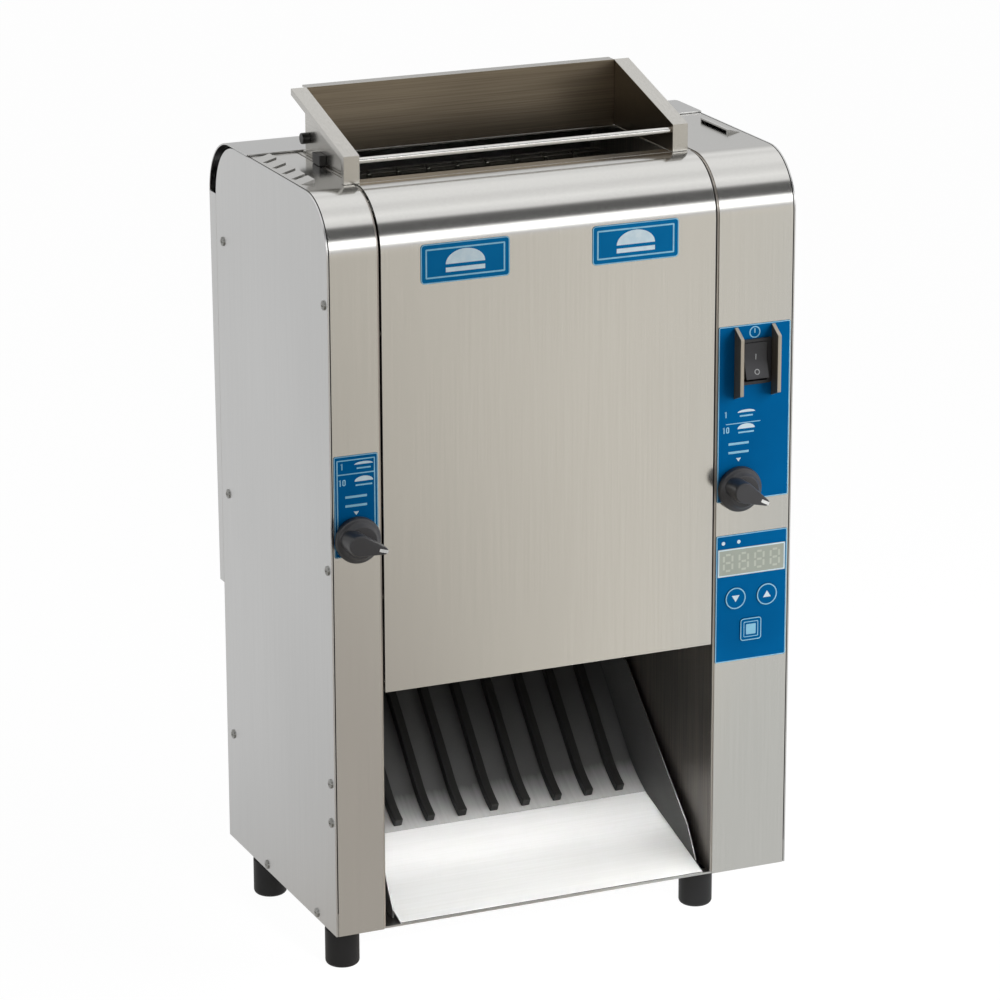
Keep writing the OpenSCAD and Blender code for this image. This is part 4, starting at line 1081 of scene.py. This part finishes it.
@dataclass
class Hopper(SubAssembly):
    """Loose hopper over the throat: three folded plates, a rod and the catches."""

    inside_lean: float = 0.8
    rod_edge: float = 0.4
    catch_edge: float = 0.6

    def build(self) -> None:
        """Build the plates, the rod and the catches."""
        for side, inward in (("left", (1, 0, 0)), ("right", (-1, 0, 0)), ("back", (0, -1, 0))):
            plate = self.soften(f"hopper_{side}_plate", f"hopper_{side}_sheet", HOPPER_STEEL)
            # Faces that look into the hopper get a painted dark brown reflection of the buns and the throat
            self.reface(plate, BROWNED_STEEL, Vector(inward), self.inside_lean)
        self.soften("hopper_rod", "hopper_rod_bar", ROD_STEEL, self.rod_edge)
        # The catches are painted a deeper black as shade
        self.soften("hopper_latches", "hopper_catches", ACETAL, self.catch_edge)


@dataclass
class Chute(SubAssembly):
    """Loose chute under the belts: coated slide with ribs, and the landing tray."""

    rib_edge: float = 0.9
    face_lean: float = 0.5
    lip_lean: float = 0.9

    def build(self) -> None:
        """Build the slide, its ribs and the tray."""
        slide = self.soften("slide_plate", "slide_sheet", SLIDE_COAT)
        # The slide's upward faces fade to pale near the tray: a painted reflection of the tray
        self.reface(slide, WORN_COAT, Vector((0, 0, 1)), self.face_lean)
        # The ribs' near black is painted shade
        self.soften("slide_ribs", "slide_rib_strips", RIB_COAT, self.rib_edge)
        tray = self.soften("landing_tray", "tray_sheet", TRAY_STEEL)
        # The lip's front faces get painted shade
        self.reface(tray, TRAY_EDGE, Vector((0, -1, 0)), self.lip_lean)


@dataclass
class Dial(SubAssembly):
    """Adjusting knob with a rounded skirt, a grip that narrows to its tip and an inlaid pointer.

    The shoulder's corners are steps in from the skirt's edge and up from its top. The grip's levels are its
    shares in length and width, and the drop from its top.
    """

    side: str = "left"
    drop_deg: float = 17.0
    facets: int = 96
    bevel: float = 0.5
    skirt_h: float = 6.0
    shoulder: tuple[Point, ...] = ((0.0, -2.4), (0.4, -1.2), (1.2, -0.3), (2.3, 0.3), (3.7, 1.4), (4.7, 3.6),
                                   (5.7, 4.4))
    hub_h: float = 4.7
    root_r: float = 8.4
    root_steps: int = 30
    tail: float = 7.0
    tip_r: float = 2.8
    tip_steps: int = 10
    tip_short: float = 1.2
    levels: tuple[tuple[float, float, float], ...] = (
        (0.99, 0.98, 3.0), (0.975, 0.94, 1.2), (0.96, 0.89, 0.4), (0.94, 0.84, 0.0))
    inlay_len: float = 7.0
    inlay_w: float = 2.4
    inlay_r: float = 0.4
    inlay_short: float = 2.0
    inlay_depth: float = 1.2
    inlay_proud: float = 0.06

    def build(self) -> None:
        """Build the knob and the inlay, and dress the screw behind it."""
        node = f"{self.side}_knob"
        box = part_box(node)
        radius = size_of(box).x / 2
        height = size_of(box).y
        spot = middle(box)
        face = Facing.FRONT.at(Vector((spot.x, box[1].y, spot.z)))
        body = f"{self.side}_dial"
        bm = bmesh.new()
        lathe(bm, face, self.profile(radius), self.facets)
        turned = face @ Matrix.Rotation(math.radians(-self.drop_deg), 4, "Z")
        loft(bm, turned, self.grip(radius, height))
        self.add(f"{self.side}_dial_knob", bm, KNOB_PLASTIC, body, [node])
        inlay = bmesh.new()
        inlay_x = radius - self.inlay_short - self.inlay_len / 2
        bar = rounded(self.inlay_len, self.inlay_w, self.inlay_r, (inlay_x, 0))
        prism(inlay, turned, bar, height - self.inlay_depth, height + self.inlay_proud)
        self.add(f"{self.side}_dial_inlay", inlay, FILL_PAINT, body)
        self.dress(GEAR_STEEL, f"{self.side}_adjust_screw", f"{self.side}_adjust_nut")

    def profile(self, radius: float) -> Outline:
        """Give the turned profile of skirt and hub.

        Args:
            radius: Radius of the skirt.

        Returns:
            Radius and height of each corner.
        """
        shoulder = [(radius - inward, self.skirt_h + rise) for inward, rise in self.shoulder]
        foot = [(0, 0), (radius - self.bevel, 0), (radius, self.bevel)]
        return [*foot, *shoulder, (0, self.skirt_h + self.hub_h)]

    def grip(self, radius: float, height: float) -> list[tuple[Outline, float]]:
        """Give the grip's outlines from the skirt to its top: a round root drawn out to a tip.

        Args:
            radius: Radius of the skirt.
            height: Height of the grip's top.

        Returns:
            Outlines with their heights.
        """
        reach = radius - self.tip_short - self.tip_r
        side = math.degrees(math.acos((self.root_r - self.tip_r) / (reach + self.tail)))
        outline = [*arc((reach, 0), self.tip_r, -side, 2 * side, self.tip_steps),
                   *arc((-self.tail, 0), self.root_r, side, 360 - 2 * side, self.root_steps)]
        upper = [([(x * along, y * across) for x, y in outline], height - drop)
                 for along, across, drop in self.levels]
        return [(outline, self.skirt_h), *upper]


@dataclass
class Switch(SubAssembly):
    """Rocker switch with its bezel, between two steel guards."""

    bezel_edge: float = 0.7
    cap_edge: float = 0.8
    front_lean: float = 0.35
    on_rise: float = 2.6
    off_rise: float = -8.6
    mark_h: float = 4.4
    mark_line: float = 0.7

    def build(self) -> None:
        """Build the switch, its marks and the guards."""
        self.soften("switch_body", "switch_bezel", NYLON, self.bezel_edge)
        self.soften("switch_rocker", "rocker_cap", NYLON, self.cap_edge)
        guards = self.soften("switch_guards", "guard_strips", GUARD_STEEL)
        self.reface(guards, EDGE_STEEL, Vector((0, -1, 0)), self.front_lean)
        spot = middle(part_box("switch_rocker"))
        upper = InkSheet(skin_at("switch_rocker", spot.x, spot.z + self.on_rise * MM))
        upper.stroke((0, -self.mark_h / 2), (0, self.mark_h / 2), self.mark_line)
        self.add("rocker_on_mark", upper.bm, GREY_INK, "rocker")
        lower = InkSheet(skin_at("switch_rocker", spot.x, spot.z + self.off_rise * MM))
        lower.ring(self.mark_h / 2, self.mark_line)
        self.add("rocker_off_mark", lower.bm, GREY_INK, "rocker")


@dataclass(frozen=True)
class DialPrint:
    """Layout of the print above one dial, from the top middle of its plate."""

    name: str
    top: float
    icon_x: float
    word_x: float
    framed: bool


@dataclass(frozen=True)
class ThicknessSign:
    """One setting of a dial: a number, and a dome over a bar. Drops start at the print's top."""

    digits: str
    number_drop: float
    dome_h: float
    dome_drop: float
    bar_w: float
    bar_drop: float


HEEL_PRINT = DialPrint("heel", -1.6, 6.2, 0.0, True)
CROWN_PRINT = DialPrint("crown", -62.0, -6.2, -12.3, False)
THICKNESS_SIGNS = (ThicknessSign("1", 6.4, 2.0, 5.8, 11.0, 8.6),
                   ThicknessSign("10", 18.6, 3.8, 18.6, 13.0, 21.4))


@dataclass
class ControlPrint(SubAssembly):
    """What the printed control plates share: the lines round their edges and of their signs."""

    edge_gap: float = 0.3
    edge_line: float = 0.7
    edge_r: float = 1.5
    line: float = 0.9

    def plates(self) -> list[Box]:
        """Find the boxes of the left plate, the keypad's plate and the switch's plate."""
        return sorted(islands("control_overlays"), key=lambda box: (box[0].x > 0, box[1].z))

    def edged(self, plate: Box) -> InkSheet:
        """Start a print with the line round a plate's edge.

        Args:
            plate: Box of the plate.

        Returns:
            The print, drawn from the plate's top middle.
        """
        width, _, height = size_of(plate)
        sheet = InkSheet(front_of(plate, 1.0))
        sheet.frame_line(width - self.edge_gap, height - self.edge_gap, self.edge_line, self.edge_r,
                         (0, -height / 2))
        return sheet


@dataclass
class Plates(ControlPrint):
    """Printed films on the towers with the display's window, and the signs of the dials and the switch."""

    lens_edge: float = 0.15
    frame_gap: Point = (4.4, 6.0)
    frame_r: float = 0.8
    framed_rule_drop: float = 12.4
    framed_rule_gap: float = 3.0
    open_rule_drop: float = 14.0
    open_rule_end: float = 12.0
    open_rule_line: float = 0.63
    number_h: float = 4.8
    number_left: float = 17.0
    dome_w: float = 14.5
    bar_h: float = 1.2
    word_w: float = 17.0
    word_h: float = 1.8
    word_drops: Point = (29.8, 36.6)
    pointer_w: float = 4.2
    pointer_h: float = 2.8
    pointer_drop: float = 42.6
    power_r: float = 4.6
    power_drop: float = 6.4
    power_ends: Point = (-7.0, -3.6)

    def build(self) -> None:
        """Build the films and the window, and print the signs above the dials and the switch."""
        self.soften("control_overlays", "control_films", BLUE_FILM, self.film_edge)
        self.soften("display_window", "display_lens", LENS, self.lens_edge)
        self.dress(BOARD, "control_board")
        left, _, upper = self.plates()
        self.dial_print(HEEL_PRINT, left)
        self.dial_print(CROWN_PRINT, upper)
        sign = InkSheet(front_of(upper, 1.0))
        sign.ring(self.power_r, self.line, (0, -self.power_drop))
        low, high = self.power_ends
        sign.stroke((0, low), (0, high), self.line)
        self.add("power_sign", sign.bm, PALE_INK, "housing")

    def dial_print(self, layout: DialPrint, plate: Box) -> None:
        """Print the thin and thick signs and the rows above a dial.

        Args:
            layout: Layout of the print.
            plate: Box of the plate.
        """
        lines = self.edged(plate)
        signs = InkSheet(lines.place)
        top = layout.top
        number_x = layout.icon_x - self.number_left
        self.rule(lines, layout, size_of(plate))
        for sign in THICKNESS_SIGNS:
            lines.number(sign.digits, self.number_h, (number_x, top - sign.number_drop), self.line)
            lines.bar(sign.bar_w, self.bar_h, (layout.icon_x, top - sign.bar_drop))
            signs.fill(dome(self.dome_w, sign.dome_h, (layout.icon_x, top - sign.dome_drop)))
        for drop in self.word_drops:
            lines.bar(self.word_w, self.word_h, (layout.word_x, top - drop))
        signs.triangle(self.pointer_w, -self.pointer_h, (layout.word_x, top - self.pointer_drop))
        self.add(f"{layout.name}_dial_lines", lines.bm, PALE_INK, "housing")
        self.add(f"{layout.name}_dial_signs", signs.bm, WHITE_INK, "housing")

    def rule(self, lines: InkSheet, layout: DialPrint, size: Vector) -> None:
        """Draw the rule between the two settings, with a frame round a framed print.

        Args:
            lines: Print that gets it.
            layout: Layout of the print.
            size: Size of the plate.
        """
        if layout.framed:
            width = size.x - self.frame_gap[0]
            height = size.z - self.frame_gap[1]
            lines.frame_line(width, height, self.line, self.frame_r, (0, -size.z / 2))
            reach = size.x / 2 - self.framed_rule_gap
            y = layout.top - self.framed_rule_drop
            lines.stroke((-reach, y), (reach, y), self.line)
        else:
            start = layout.icon_x - self.number_left
            y = layout.top - self.open_rule_drop
            lines.stroke((start, y), (layout.icon_x + self.open_rule_end, y), self.open_rule_line)


@dataclass
class Keypad(ControlPrint):
    """Keys and print of the lower plate. The keys' rims lie hidden behind the plate."""

    lamp_x: Point = (-24.0, -11.0)
    lamp_drop: float = 6.2
    lamp_r: float = 1.5
    lamp_facets: int = 24
    border_gap: float = 0.4
    border_line: float = 1.0
    border_r: float = 0.8
    digits: int = 4
    digit_w: float = 7.2
    digit_h: float = 12.6
    digit_line: float = 1.7
    digit_pitch: float = 13.2
    digit_thick: float = 0.04
    key_edge: float = 0.15
    key_rim: float = 1.2
    ring_gap: float = 0.1
    arrow_w: float = 6.6
    arrow_h: float = 5.2
    arrow_rise: float = 0.3
    outer_gap: float = 0.3
    outer_line: float = 0.7
    outer_r: float = 2.4
    inner_gap: float = 5.6
    inner_line: float = 0.6
    inner_r: float = 0.8
    pad_w: float = 8.2
    pad_r: float = 0.5

    def build(self) -> None:
        """Print the plate and the display, and build the keys."""
        lines = self.edged(self.plates()[1])
        self.add("keypad_lines", lines.bm, PALE_INK, "housing")
        marks = InkSheet(lines.place)
        for x in self.lamp_x:
            marks.fill(circle(self.lamp_r, (x, -self.lamp_drop), self.lamp_facets))
        self.add("keypad_marks", marks.bm, WHITE_INK, "housing")
        self.display()
        for direction, node in ((1, "up_key"), (-1, "down_key")):
            self.arrow_key(node, direction)
        self.square_key()

    def display(self) -> None:
        """Print the display's border and its faint digits."""
        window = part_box("display_window")
        width, _, height = size_of(window)
        border = InkSheet(front_of(window))
        border.frame_line(width - self.border_gap, height - self.border_gap, self.border_line, self.border_r)
        self.add("display_border", border.bm, WHITE_INK, "housing")
        ghost = InkSheet(front_of(window), thick=self.digit_thick)
        for i in range(self.digits):
            x = self.digit_pitch * (i - (self.digits - 1) / 2)
            ghost.segments(self.digit_w, self.digit_h, self.digit_line, (x, 0))
        self.add("display_digits", ghost.bm, GHOST, "housing")

    def key(self, node: str) -> tuple[Matrix, float]:
        """Build a key's cap.

        Args:
            node: CAD node of the key.

        Returns:
            Matrix for drawing on the key, and the width of its face.
        """
        self.soften(node, f"{node}_cap", BLUE_FILM, self.key_edge)
        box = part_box(node)
        return front_of(box), size_of(box).x - 2 * self.key_rim

    def arrow_key(self, node: str, direction: int) -> None:
        """Build a round key with a ring and an arrow.

        Args:
            node: CAD node of the key, which is also its body.
            direction: 1 for up and -1 for down.
        """
        place, width = self.key(node)
        ring = InkSheet(place)
        ring.ring(width / 2 - self.ring_gap, self.line)
        self.add(f"{node}_ring", ring.bm, PALE_INK, node)
        sign = InkSheet(place)
        sign.triangle(self.arrow_w, self.arrow_h * direction, (0, self.arrow_rise * direction))
        self.add(f"{node}_sign", sign.bm, WHITE_INK, node)

    def square_key(self) -> None:
        """Build the square key with its double frame and pale pad."""
        place, width = self.key("program_key")
        sign = InkSheet(place)
        sign.frame_line(width - self.outer_gap, width - self.outer_gap, self.outer_line, self.outer_r)
        sign.frame_line(width - self.inner_gap, width - self.inner_gap, self.inner_line, self.inner_r)
        sign.fill(rounded(self.pad_w, self.pad_w, self.pad_r))
        self.add("program_key_sign", sign.bm, PALE_INK, "program_key")


@dataclass
class Belts(SubAssembly):
    """Two wire belts on their swinging frames."""

    wire_r: float = 0.6
    pitch: float = 8.0
    hooks: int = 9
    hook_w: float = 4.0
    hook_top: float = 2.4
    hook_reach: float = 0.85

    def build(self) -> None:
        """Build the wire belts and dress the frames and rollers."""
        for side in ("front", "rear"):
            self.belt(side)
            self.dress(FRAME_STEEL, f"{side}_conveyor_frame")
            self.dress(GEAR_STEEL, f"{side}_drive_roller", f"{side}_return_roller")

    def belt(self, side: str) -> None:
        """Bend the wires of one belt.

        Args:
            side: Which belt it is.
        """
        low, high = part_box(f"{side}_belt")
        half_m = (high.y - low.y) / 2
        wire_m = self.wire_r * MM
        radius_m = half_m - wire_m
        straight_m = high.z - low.z - 2 * half_m
        length_m = 2 * straight_m + 2 * math.pi * radius_m
        count = round(length_m / (self.pitch * MM))
        start = Vector((0, (low.y + high.y) / 2, low.z + half_m))
        run_m = high.x - low.x
        bm = bmesh.new()
        for i in range(count):
            route: list[Vector] = []
            outward: list[Vector] = []
            for x_m, shift in self.wire_plan(run_m):
                spot, out = self.loop_at((i + shift) * length_m / count, straight_m, radius_m)
                route.append(start + spot + Vector((low.x + x_m, 0, 0)))
                outward.append(out)
            tube(bm, route, outward, wire_m)
        self.add(f"{side}_wire_belt", bm, BELT_WIRE, f"{side}_conveyor", [f"{side}_belt"])

    def wire_plan(self, run_m: float) -> list[Point]:
        """Give the corners of one wire in the flat belt.

        Args:
            run_m: Width of the belt.

        Returns:
            Place across, and the step towards the next wire as a share of the pitch.
        """
        gap_m = run_m / (self.hooks + 1)
        foot_m = self.hook_w / 2 * MM
        top_m = self.hook_top / 2 * MM
        hook = ((-foot_m, 0.0), (-top_m, self.hook_reach), (top_m, self.hook_reach), (foot_m, 0.0))
        hooks = [(gap_m * i + x_m, step) for i in range(1, self.hooks + 1) for x_m, step in hook]
        return [(0.0, 0.0), *hooks, (run_m, 0.0)]

    def loop_at(self, way_m: float, straight_m: float, radius_m: float) -> tuple[Vector, Vector]:
        """Find a place on the belt's round trip.

        Args:
            way_m: Distance along the belt from the low end of its front run.
            straight_m: Distance between the rollers' axes.
            radius_m: Radius of the belt's middle line round a roller.

        Returns:
            The place, from the low roller's axis, and the direction out of the belt.
        """
        turn_m = math.pi * radius_m
        way_m %= 2 * (straight_m + turn_m)
        behind = way_m >= straight_m + turn_m
        way_m -= (straight_m + turn_m) * behind
        angle = max(way_m - straight_m, 0) / radius_m + math.pi * behind
        out = Vector((0, -math.cos(angle), math.sin(angle)))
        rise_m = min(way_m, straight_m)
        return out * radius_m + Vector((0, 0, straight_m - rise_m if behind else rise_m)), out


@dataclass
class Works(SubAssembly):
    """Heater, motor and gears inside the housing."""

    def build(self) -> None:
        """Dress the pieces that no cover leaves in sight."""
        self.dress(PLATEN_ALLOY, "platen")
        self.dress(HEATER_STEEL, "heating_elements", "platen_spacers")
        self.dress(BRONZE, "shaft_bushes", "screw_bushes")
        self.dress(MOTOR_PAINT, "gear_motor")
        self.dress(GEAR_STEEL, "front_drive_gear", "rear_drive_gear", "front_idler_gear", "rear_idler_gear",
                   "motor_pinion")


# Room as mirrors show it: angle up from the front horizon over the top to the back, and strength
BANDS = ((0, 0.76), (4.5, 0.76), (6.5, 2.7), (20.5, 2.7), (22.5, 0.12), (46, 0.16), (50.5, 1.12),
         (58, 1.18), (65, 1.32), (75, 1.1), (85, 1.04), (95, 1.18), (115, 1.2), (126, 1.02), (135, 1.2),
         (150, 0.74), (180, 0.62))
BAND_TOP = max(strength for _, strength in BANDS)
# Floor as mirrors show it: angle round from the front to the right, and colour; darker from the front left
# to the front as a painted shadow of the machine, palest at 25° to 28.5° as painted light
FLOOR_TONES = ((-180, "#F3F3F3"), (-149, "#F3F3F3"), (-136, "#E6E6E6"), (-45, "#C9C3BB"), (7, "#C9C3BB"),
               (14, "#DDD8CE"), (18, "#E7E2D8"), (22, "#EFEAE0"), (25, "#F9F4EA"), (28.5, "#F9F4EA"),
               (33, "#E9EAE7"), (90, "#ECECEC"), (180, "#F3F3F3"))


@dataclass(frozen=True)
class SoftBox:
    """Lamp behind a white cloth, which mirrors don't show."""

    name: str
    spot_m: tuple[float, float, float]
    aim_m: tuple[float, float, float]
    width_m: float
    height_m: float
    watt: float
    spread_deg: float = 180.0

    def hang(self) -> None:
        """Hang the lamp and point it."""
        data = bpy.data.lights.new(self.name, "AREA")
        data.shape = "RECTANGLE"
        data.size = self.width_m
        data.size_y = self.height_m
        data.energy = self.watt
        data.spread = math.radians(self.spread_deg)
        lamp = link_object(self.name, data)
        turn = (Vector(self.aim_m) - Vector(self.spot_m)).to_track_quat("-Z", "Y")
        lamp.matrix_world = Matrix.Translation(self.spot_m) @ turn.to_matrix().to_4x4()
        lamp.visible_glossy = False


# One large box at the front right, one that reaches into the mouth and a thin one along the tray's back
SOFT_BOXES = (SoftBox("right_box", (0.86, -0.52, 0.6), (0.0, 0.0, 0.35), 0.9, 0.9, 10.5),
              SoftBox("mouth_box", (0.04, -1.0, 0.55), (0.0, -0.06, -0.07), 0.36, 0.24, 0.33, 15.0),
              SoftBox("tray_box", (0.0, -0.433, 0.536), (0.0, -0.034, 0.061), 0.34, 0.048, 0.029, 5.0))


@dataclass
class Studio:
    """Camera, floor, white surroundings and soft light."""

    eye_m: tuple[float, float, float] = (-1.30425, -2.98220, 1.32909)
    yaw_deg: float = -23.53
    pitch_deg: float = 17.25
    roll_deg: float = -0.16
    lens: float = 160.27
    sensor: float = 36.0
    paper: str = "#F2F2F2"
    white: str = "#FFFFFF"
    floor_m: float = 40.0
    floor_seen: float = 0.93
    floor_glow: float = 1.05
    ambient: float = 0.14

    def build(self) -> None:
        """Set up the camera, floor and light."""
        self.camera()
        self.floor()
        for box in SOFT_BOXES:
            box.hang()
        self.surroundings()
        bpy.context.scene.view_settings.view_transform = "Standard"
        LOG.info("Studio: set up")

    def camera(self) -> None:
        """Place the camera of the photograph."""
        yaw, pitch, roll = map(math.radians, (self.yaw_deg, self.pitch_deg, self.roll_deg))
        right = Vector((math.cos(yaw), math.sin(yaw), 0))
        back = Vector((math.sin(yaw) * math.cos(pitch), -math.cos(yaw) * math.cos(pitch), math.sin(pitch)))
        up = back.cross(right)
        across = right * math.cos(roll) + up * math.sin(roll)
        rise = up * math.cos(roll) - right * math.sin(roll)
        data = bpy.data.cameras.new("photo_camera")
        data.lens = self.lens
        data.sensor_width = self.sensor
        camera = link_object("photo_camera", data)
        axes = Matrix([across, rise, back]).transposed()
        camera.matrix_world = Matrix.Translation(self.eye_m) @ axes.to_4x4()
        bpy.context.scene.camera = camera

    def floor(self) -> None:
        """Lay a pale floor that shows white and still takes the shadow."""
        half = self.floor_m / 2
        mesh = bpy.data.meshes.new("studio_floor")
        corners = [(-half, -half, 0), (half, -half, 0), (half, half, 0), (-half, half, 0)]
        mesh.from_pydata(corners, [], [(0, 1, 2, 3)])
        floor = link_object("studio_floor", mesh)
        material = bpy.data.materials.new("studio_paper")
        tree = empty_tree(material)
        paper = add_node(tree, "ShaderNodeBsdfDiffuse", {"Color": linear(self.paper)}).outputs["BSDF"]
        white = add_node(tree, "ShaderNodeEmission", {
            "Color": linear(self.white), "Strength": self.floor_glow}).outputs["Emission"]
        camera = add_node(tree, "ShaderNodeLightPath").outputs["Is Camera Ray"]
        seen = reckon(tree, "MULTIPLY", camera, self.floor_seen)
        lit = add_node(tree, "ShaderNodeMixShader", {0: seen, 1: paper, 2: white}).outputs["Shader"]
        place = add_node(tree, "ShaderNodeTexCoord").outputs["Object"]
        # Mirrors see the floor in graded tones: a painted shadow of the machine in front, painted light to
        # its front right
        tones = [(turn / 360 + 0.5, linear(code)) for turn, code in FLOOR_TONES]
        tone = self.graded(tree, place, ("X", "Y"), 2 * math.pi, 0.5, tones)
        shown = add_node(tree, "ShaderNodeEmission", {"Color": tone, "Strength": 1.0}).outputs["Emission"]
        both = add_node(tree, "ShaderNodeMixShader", {0: self.mirrored(tree), 1: lit, 2: shown})
        add_node(tree, "ShaderNodeOutputMaterial", {"Surface": both.outputs["Shader"]})
        mesh.materials.append(material)

    def mirrored(self, tree: Tree) -> Socket:
        """Tell rays that mirrors and glass send out from those that only carry light.

        Args:
            tree: Tree that gets the nodes.

        Returns:
            Output that is 1 for glossy and transmission rays.
        """
        path = add_node(tree, "ShaderNodeLightPath").outputs
        return reckon(tree, "MAXIMUM", path["Is Glossy Ray"], path["Is Transmission Ray"])

    def graded(self, tree: Tree, place: Socket, axes: tuple[str, str],
               turn: float, start: float, stops: list[tuple[float, tuple]]) -> Socket:
        """Grade a colour by the angle from the front towards one axis.

        Args:
            tree: Tree that gets the nodes.
            place: Place or direction.
            axes: Axis to which the angle grows, and the one that runs away from the front.
            turn: Angle that the whole grade covers, in radians.
            start: Share of the grade at which the angle is 0.
            stops: Shares with their colours, rising from 0 to 1.

        Returns:
            Output with the colour.
        """
        grown, away = axes
        way = add_node(tree, "ShaderNodeSeparateXYZ", {0: place}).outputs
        ahead = reckon(tree, "MULTIPLY", way[away], -1.0)
        angle = reckon(tree, "ARCTAN2", way[grown], ahead)
        share = reckon(tree, "MULTIPLY_ADD", angle, 1 / turn, start)
        ramp = add_node(tree, "ShaderNodeValToRGB", {0: share})
        marks = ramp.color_ramp.elements
        for at, _ in stops[1:-1]:
            marks.new(at)
        for mark, (_, colour) in zip(marks, stops):
            mark.color = colour
        return ramp.outputs["Color"]

    def surroundings(self) -> None:
        """Make a white backdrop, an even fill and the room that mirrors show."""
        world = bpy.data.worlds.new("studio_room")
        bpy.context.scene.world = world
        # Only rays that leave a surface ask for the room, so that each kind of ray gets its own answer
        world.cycles.sampling_method = "NONE"
        tree = empty_tree(world)
        white = linear(self.white)
        fill = add_node(tree, "ShaderNodeBackground", {"Color": white, "Strength": self.ambient}).outputs[0]
        way = add_node(tree, "ShaderNodeTexCoord").outputs["Generated"]
        bands = [(up / 180, (*(strength / BAND_TOP,) * 3, 1.0)) for up, strength in BANDS]
        room = self.graded(tree, way, ("Z", "Y"), math.pi, 0.0, bands)
        shown = add_node(tree, "ShaderNodeBackground", {"Color": room, "Strength": BAND_TOP}).outputs[0]
        plain = add_node(tree, "ShaderNodeBackground", {"Color": white, "Strength": 1.0}).outputs[0]
        lit = add_node(tree, "ShaderNodeMixShader", {0: self.mirrored(tree), 1: fill, 2: shown}).outputs[0]
        camera = add_node(tree, "ShaderNodeLightPath").outputs["Is Camera Ray"]
        both = add_node(tree, "ShaderNodeMixShader", {0: camera, 1: lit, 2: plain}).outputs[0]
        add_node(tree, "ShaderNodeOutputWorld", {"Surface": both})


def main() -> None:
    """Build every sub-assembly and the studio."""
    logging.basicConfig(level=logging.INFO, format="%(message)s")
    parts = (Casing(), Covers(), Hopper(), Chute(), Dial(), Dial(side="right", drop_deg=28.0), Switch(),
             Plates(), Keypad(), Belts(), Works(), Studio())
    for part in parts:
        part.build()


if __name__ == "__main__":
    main()
